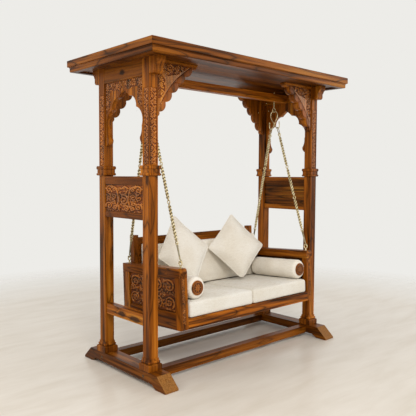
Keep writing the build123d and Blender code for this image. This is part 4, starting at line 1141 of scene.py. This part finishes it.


# ---- finishes on the carried frame ----
# each wooden node's grain, and where they aren't 1.0 and 0.75, how light it is and how bold its figure is
# the lightness paints shade on the feet, plinth blocks, base stretchers, back left post, ceiling boards and
# the boards round the carved skins, which stand in shadow, and paints light on the two front posts, the
# hanger beam and the front left bracket
WOOD = {
    "left_foot_beam": ("Y", 0.62), "right_foot_beam": ("Y", 0.56), "front_base_stretcher": ("X", 0.72),
    "back_base_stretcher": ("X", 0.42), "plinth_blocks": ("Z", 0.8), "front_left_post": ("Z", 1.13, 0.88),
    "front_right_post": ("Z", 1.06, 0.85), "back_left_post": ("Z", 0.82, 0.85),
    "back_right_post": ("Z", 1.0, 0.85), "lower_side_rails": ("Y", 1.0, 1.1), "mid_side_rails": ("Y", 0.85),
    "side_carved_panels": ("Y", 0.5), "inner_panel_boards": ("Y", 0.5, 1.35), "left_arch_panel": ("Z",),
    "right_arch_panel": ("Z",), "side_top_rails": ("Y", 0.74), "hanger_beam": ("X", 1.3),
    "front_left_bracket": ("Z", 1.15), "front_right_bracket": ("Z",), "back_left_bracket": ("Z",),
    "back_right_bracket": ("Z",), "bracket_cap_boards": ("X",), "corbels": ("Z",),
    "ceiling_boards": ("X", 0.52, 0.8), "roof_battens": ("Y",), "roof_top_boards": ("X",),
    "canopy_mouldings": ("mitred", 0.68, 0.95), "arm_stiles": ("Z",), "arm_top_rails": ("Y", 0.8, 1.0),
    "arm_bottom_rails": ("Y", 0.75, 1.0), "arm_panels": ("Y", 0.42), "front_seat_rail": ("X", 1.3, 1.05),
    "back_seat_rail": ("X",), "seat_ledgers": ("X",), "seat_slats": ("Y",), "back_stiles": ("Z",),
    "back_top_rail": ("X", 0.7), "back_boards": ("X", 1.0, 0.95), "bolster_end_discs": ("Z",),
}

# dark knots on the faces that the photograph shows: middle, then reach along x, y and z
KNOTS = {
    "side_top_rails": ((-0.858, 0.006, 2.000, 0.02, 0.030, 0.017),),
    "lower_side_rails": (
        (-0.852, 0.03, 0.398, 0.03, 0.045, 0.018), (-0.852, -0.12, 0.390, 0.03, 0.065, 0.018),
    ),
    "front_left_post": ((-0.860, -0.268, 1.305, 0.014, 0.014, 0.045),),
    "arm_top_rails": ((-0.694, -0.12, 0.690, 0.02, 0.10, 0.022),),
    "arm_carving": ((-0.684, -0.10, 0.55, 0.03, 0.06, 0.08),),
}


def soften_edges(made, width):
    """Planed wood has its edges eased."""
    adjust(made.modifiers.new("weld", "WELD"), merge_threshold=0.00002)
    adjust(
        made.modifiers.new("ease", "BEVEL"), width=width, segments=2, limit_method="ANGLE",
        angle_limit=math.radians(35), use_clamp_overlap=True, harden_normals=True,
    )


def finish_frame():
    """Wood, brass or steel on every node that the frame carries."""
    brass = brass_material("antique_brass")
    worn = brass_material("worn_brass", shade=0.5)
    metals = {
        "left_chain_end_links": worn, "right_chain_end_links": worn, "stretcher_bolts": steel_material(),
        "frame_screws": brass_material("pale_brass", shade=1.2, metal=0.2),
    }
    for number, (name, made) in enumerate(sorted(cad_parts.items())):
        if name in WOOD:
            material = wood_material(
                f"sheesham_{name}", number * 0.77, *WOOD[name], knots=KNOTS.get(name, ()),
                toes=name.endswith("foot_beam"), rough=0.5 if name == "roof_top_boards" else 0.26,
            )
            soften_edges(made, 0.0018)
        else:
            material = metals.get(name, brass)
        made.data.materials.clear()
        made.data.materials.append(material)


def add_carving():
    """Every carved piece, each in the wood of what it is cut into."""
    level = wood_material("sheesham_carved", 4.2, "Y", carved=True)
    upright = wood_material("sheesham_carved_upright", 9.1, "Z", carved=True)
    arm = wood_material("sheesham_carved_arm", 6.6, "Y", 0.85, carved=True, knots=KNOTS["arm_carving"])
    carve_side_panels(level)
    # painted light: the posts' carving is a lighter copy of the upright carving's wood, standing in for their
    # bright glints
    carve_posts(wood_material("sheesham_carved_post_lit", 9.1, "Z", 1.15, carved=True))
    carve_arches(upright)
    carve_brackets(upright)
    carve_arms(arm)
    carve_discs(upright)


add_camera()
add_world()
add_floor()
add_lamp("key", (-2.9, -4.3, 4.5), 1.7, 158, srgb(255, 250, 242))
add_lamp("fill", (3.8, -3.6, 2.6), 3.0, 55, srgb(248, 250, 255))
add_lamp("rear", (-4.5, 1.5, 3.3), 1.4, 42, srgb(255, 252, 246))
finish_frame()
add_carving()
twist_chains()
add_soft_goods()
bpy.context.scene.view_settings.view_transform = "Standard"
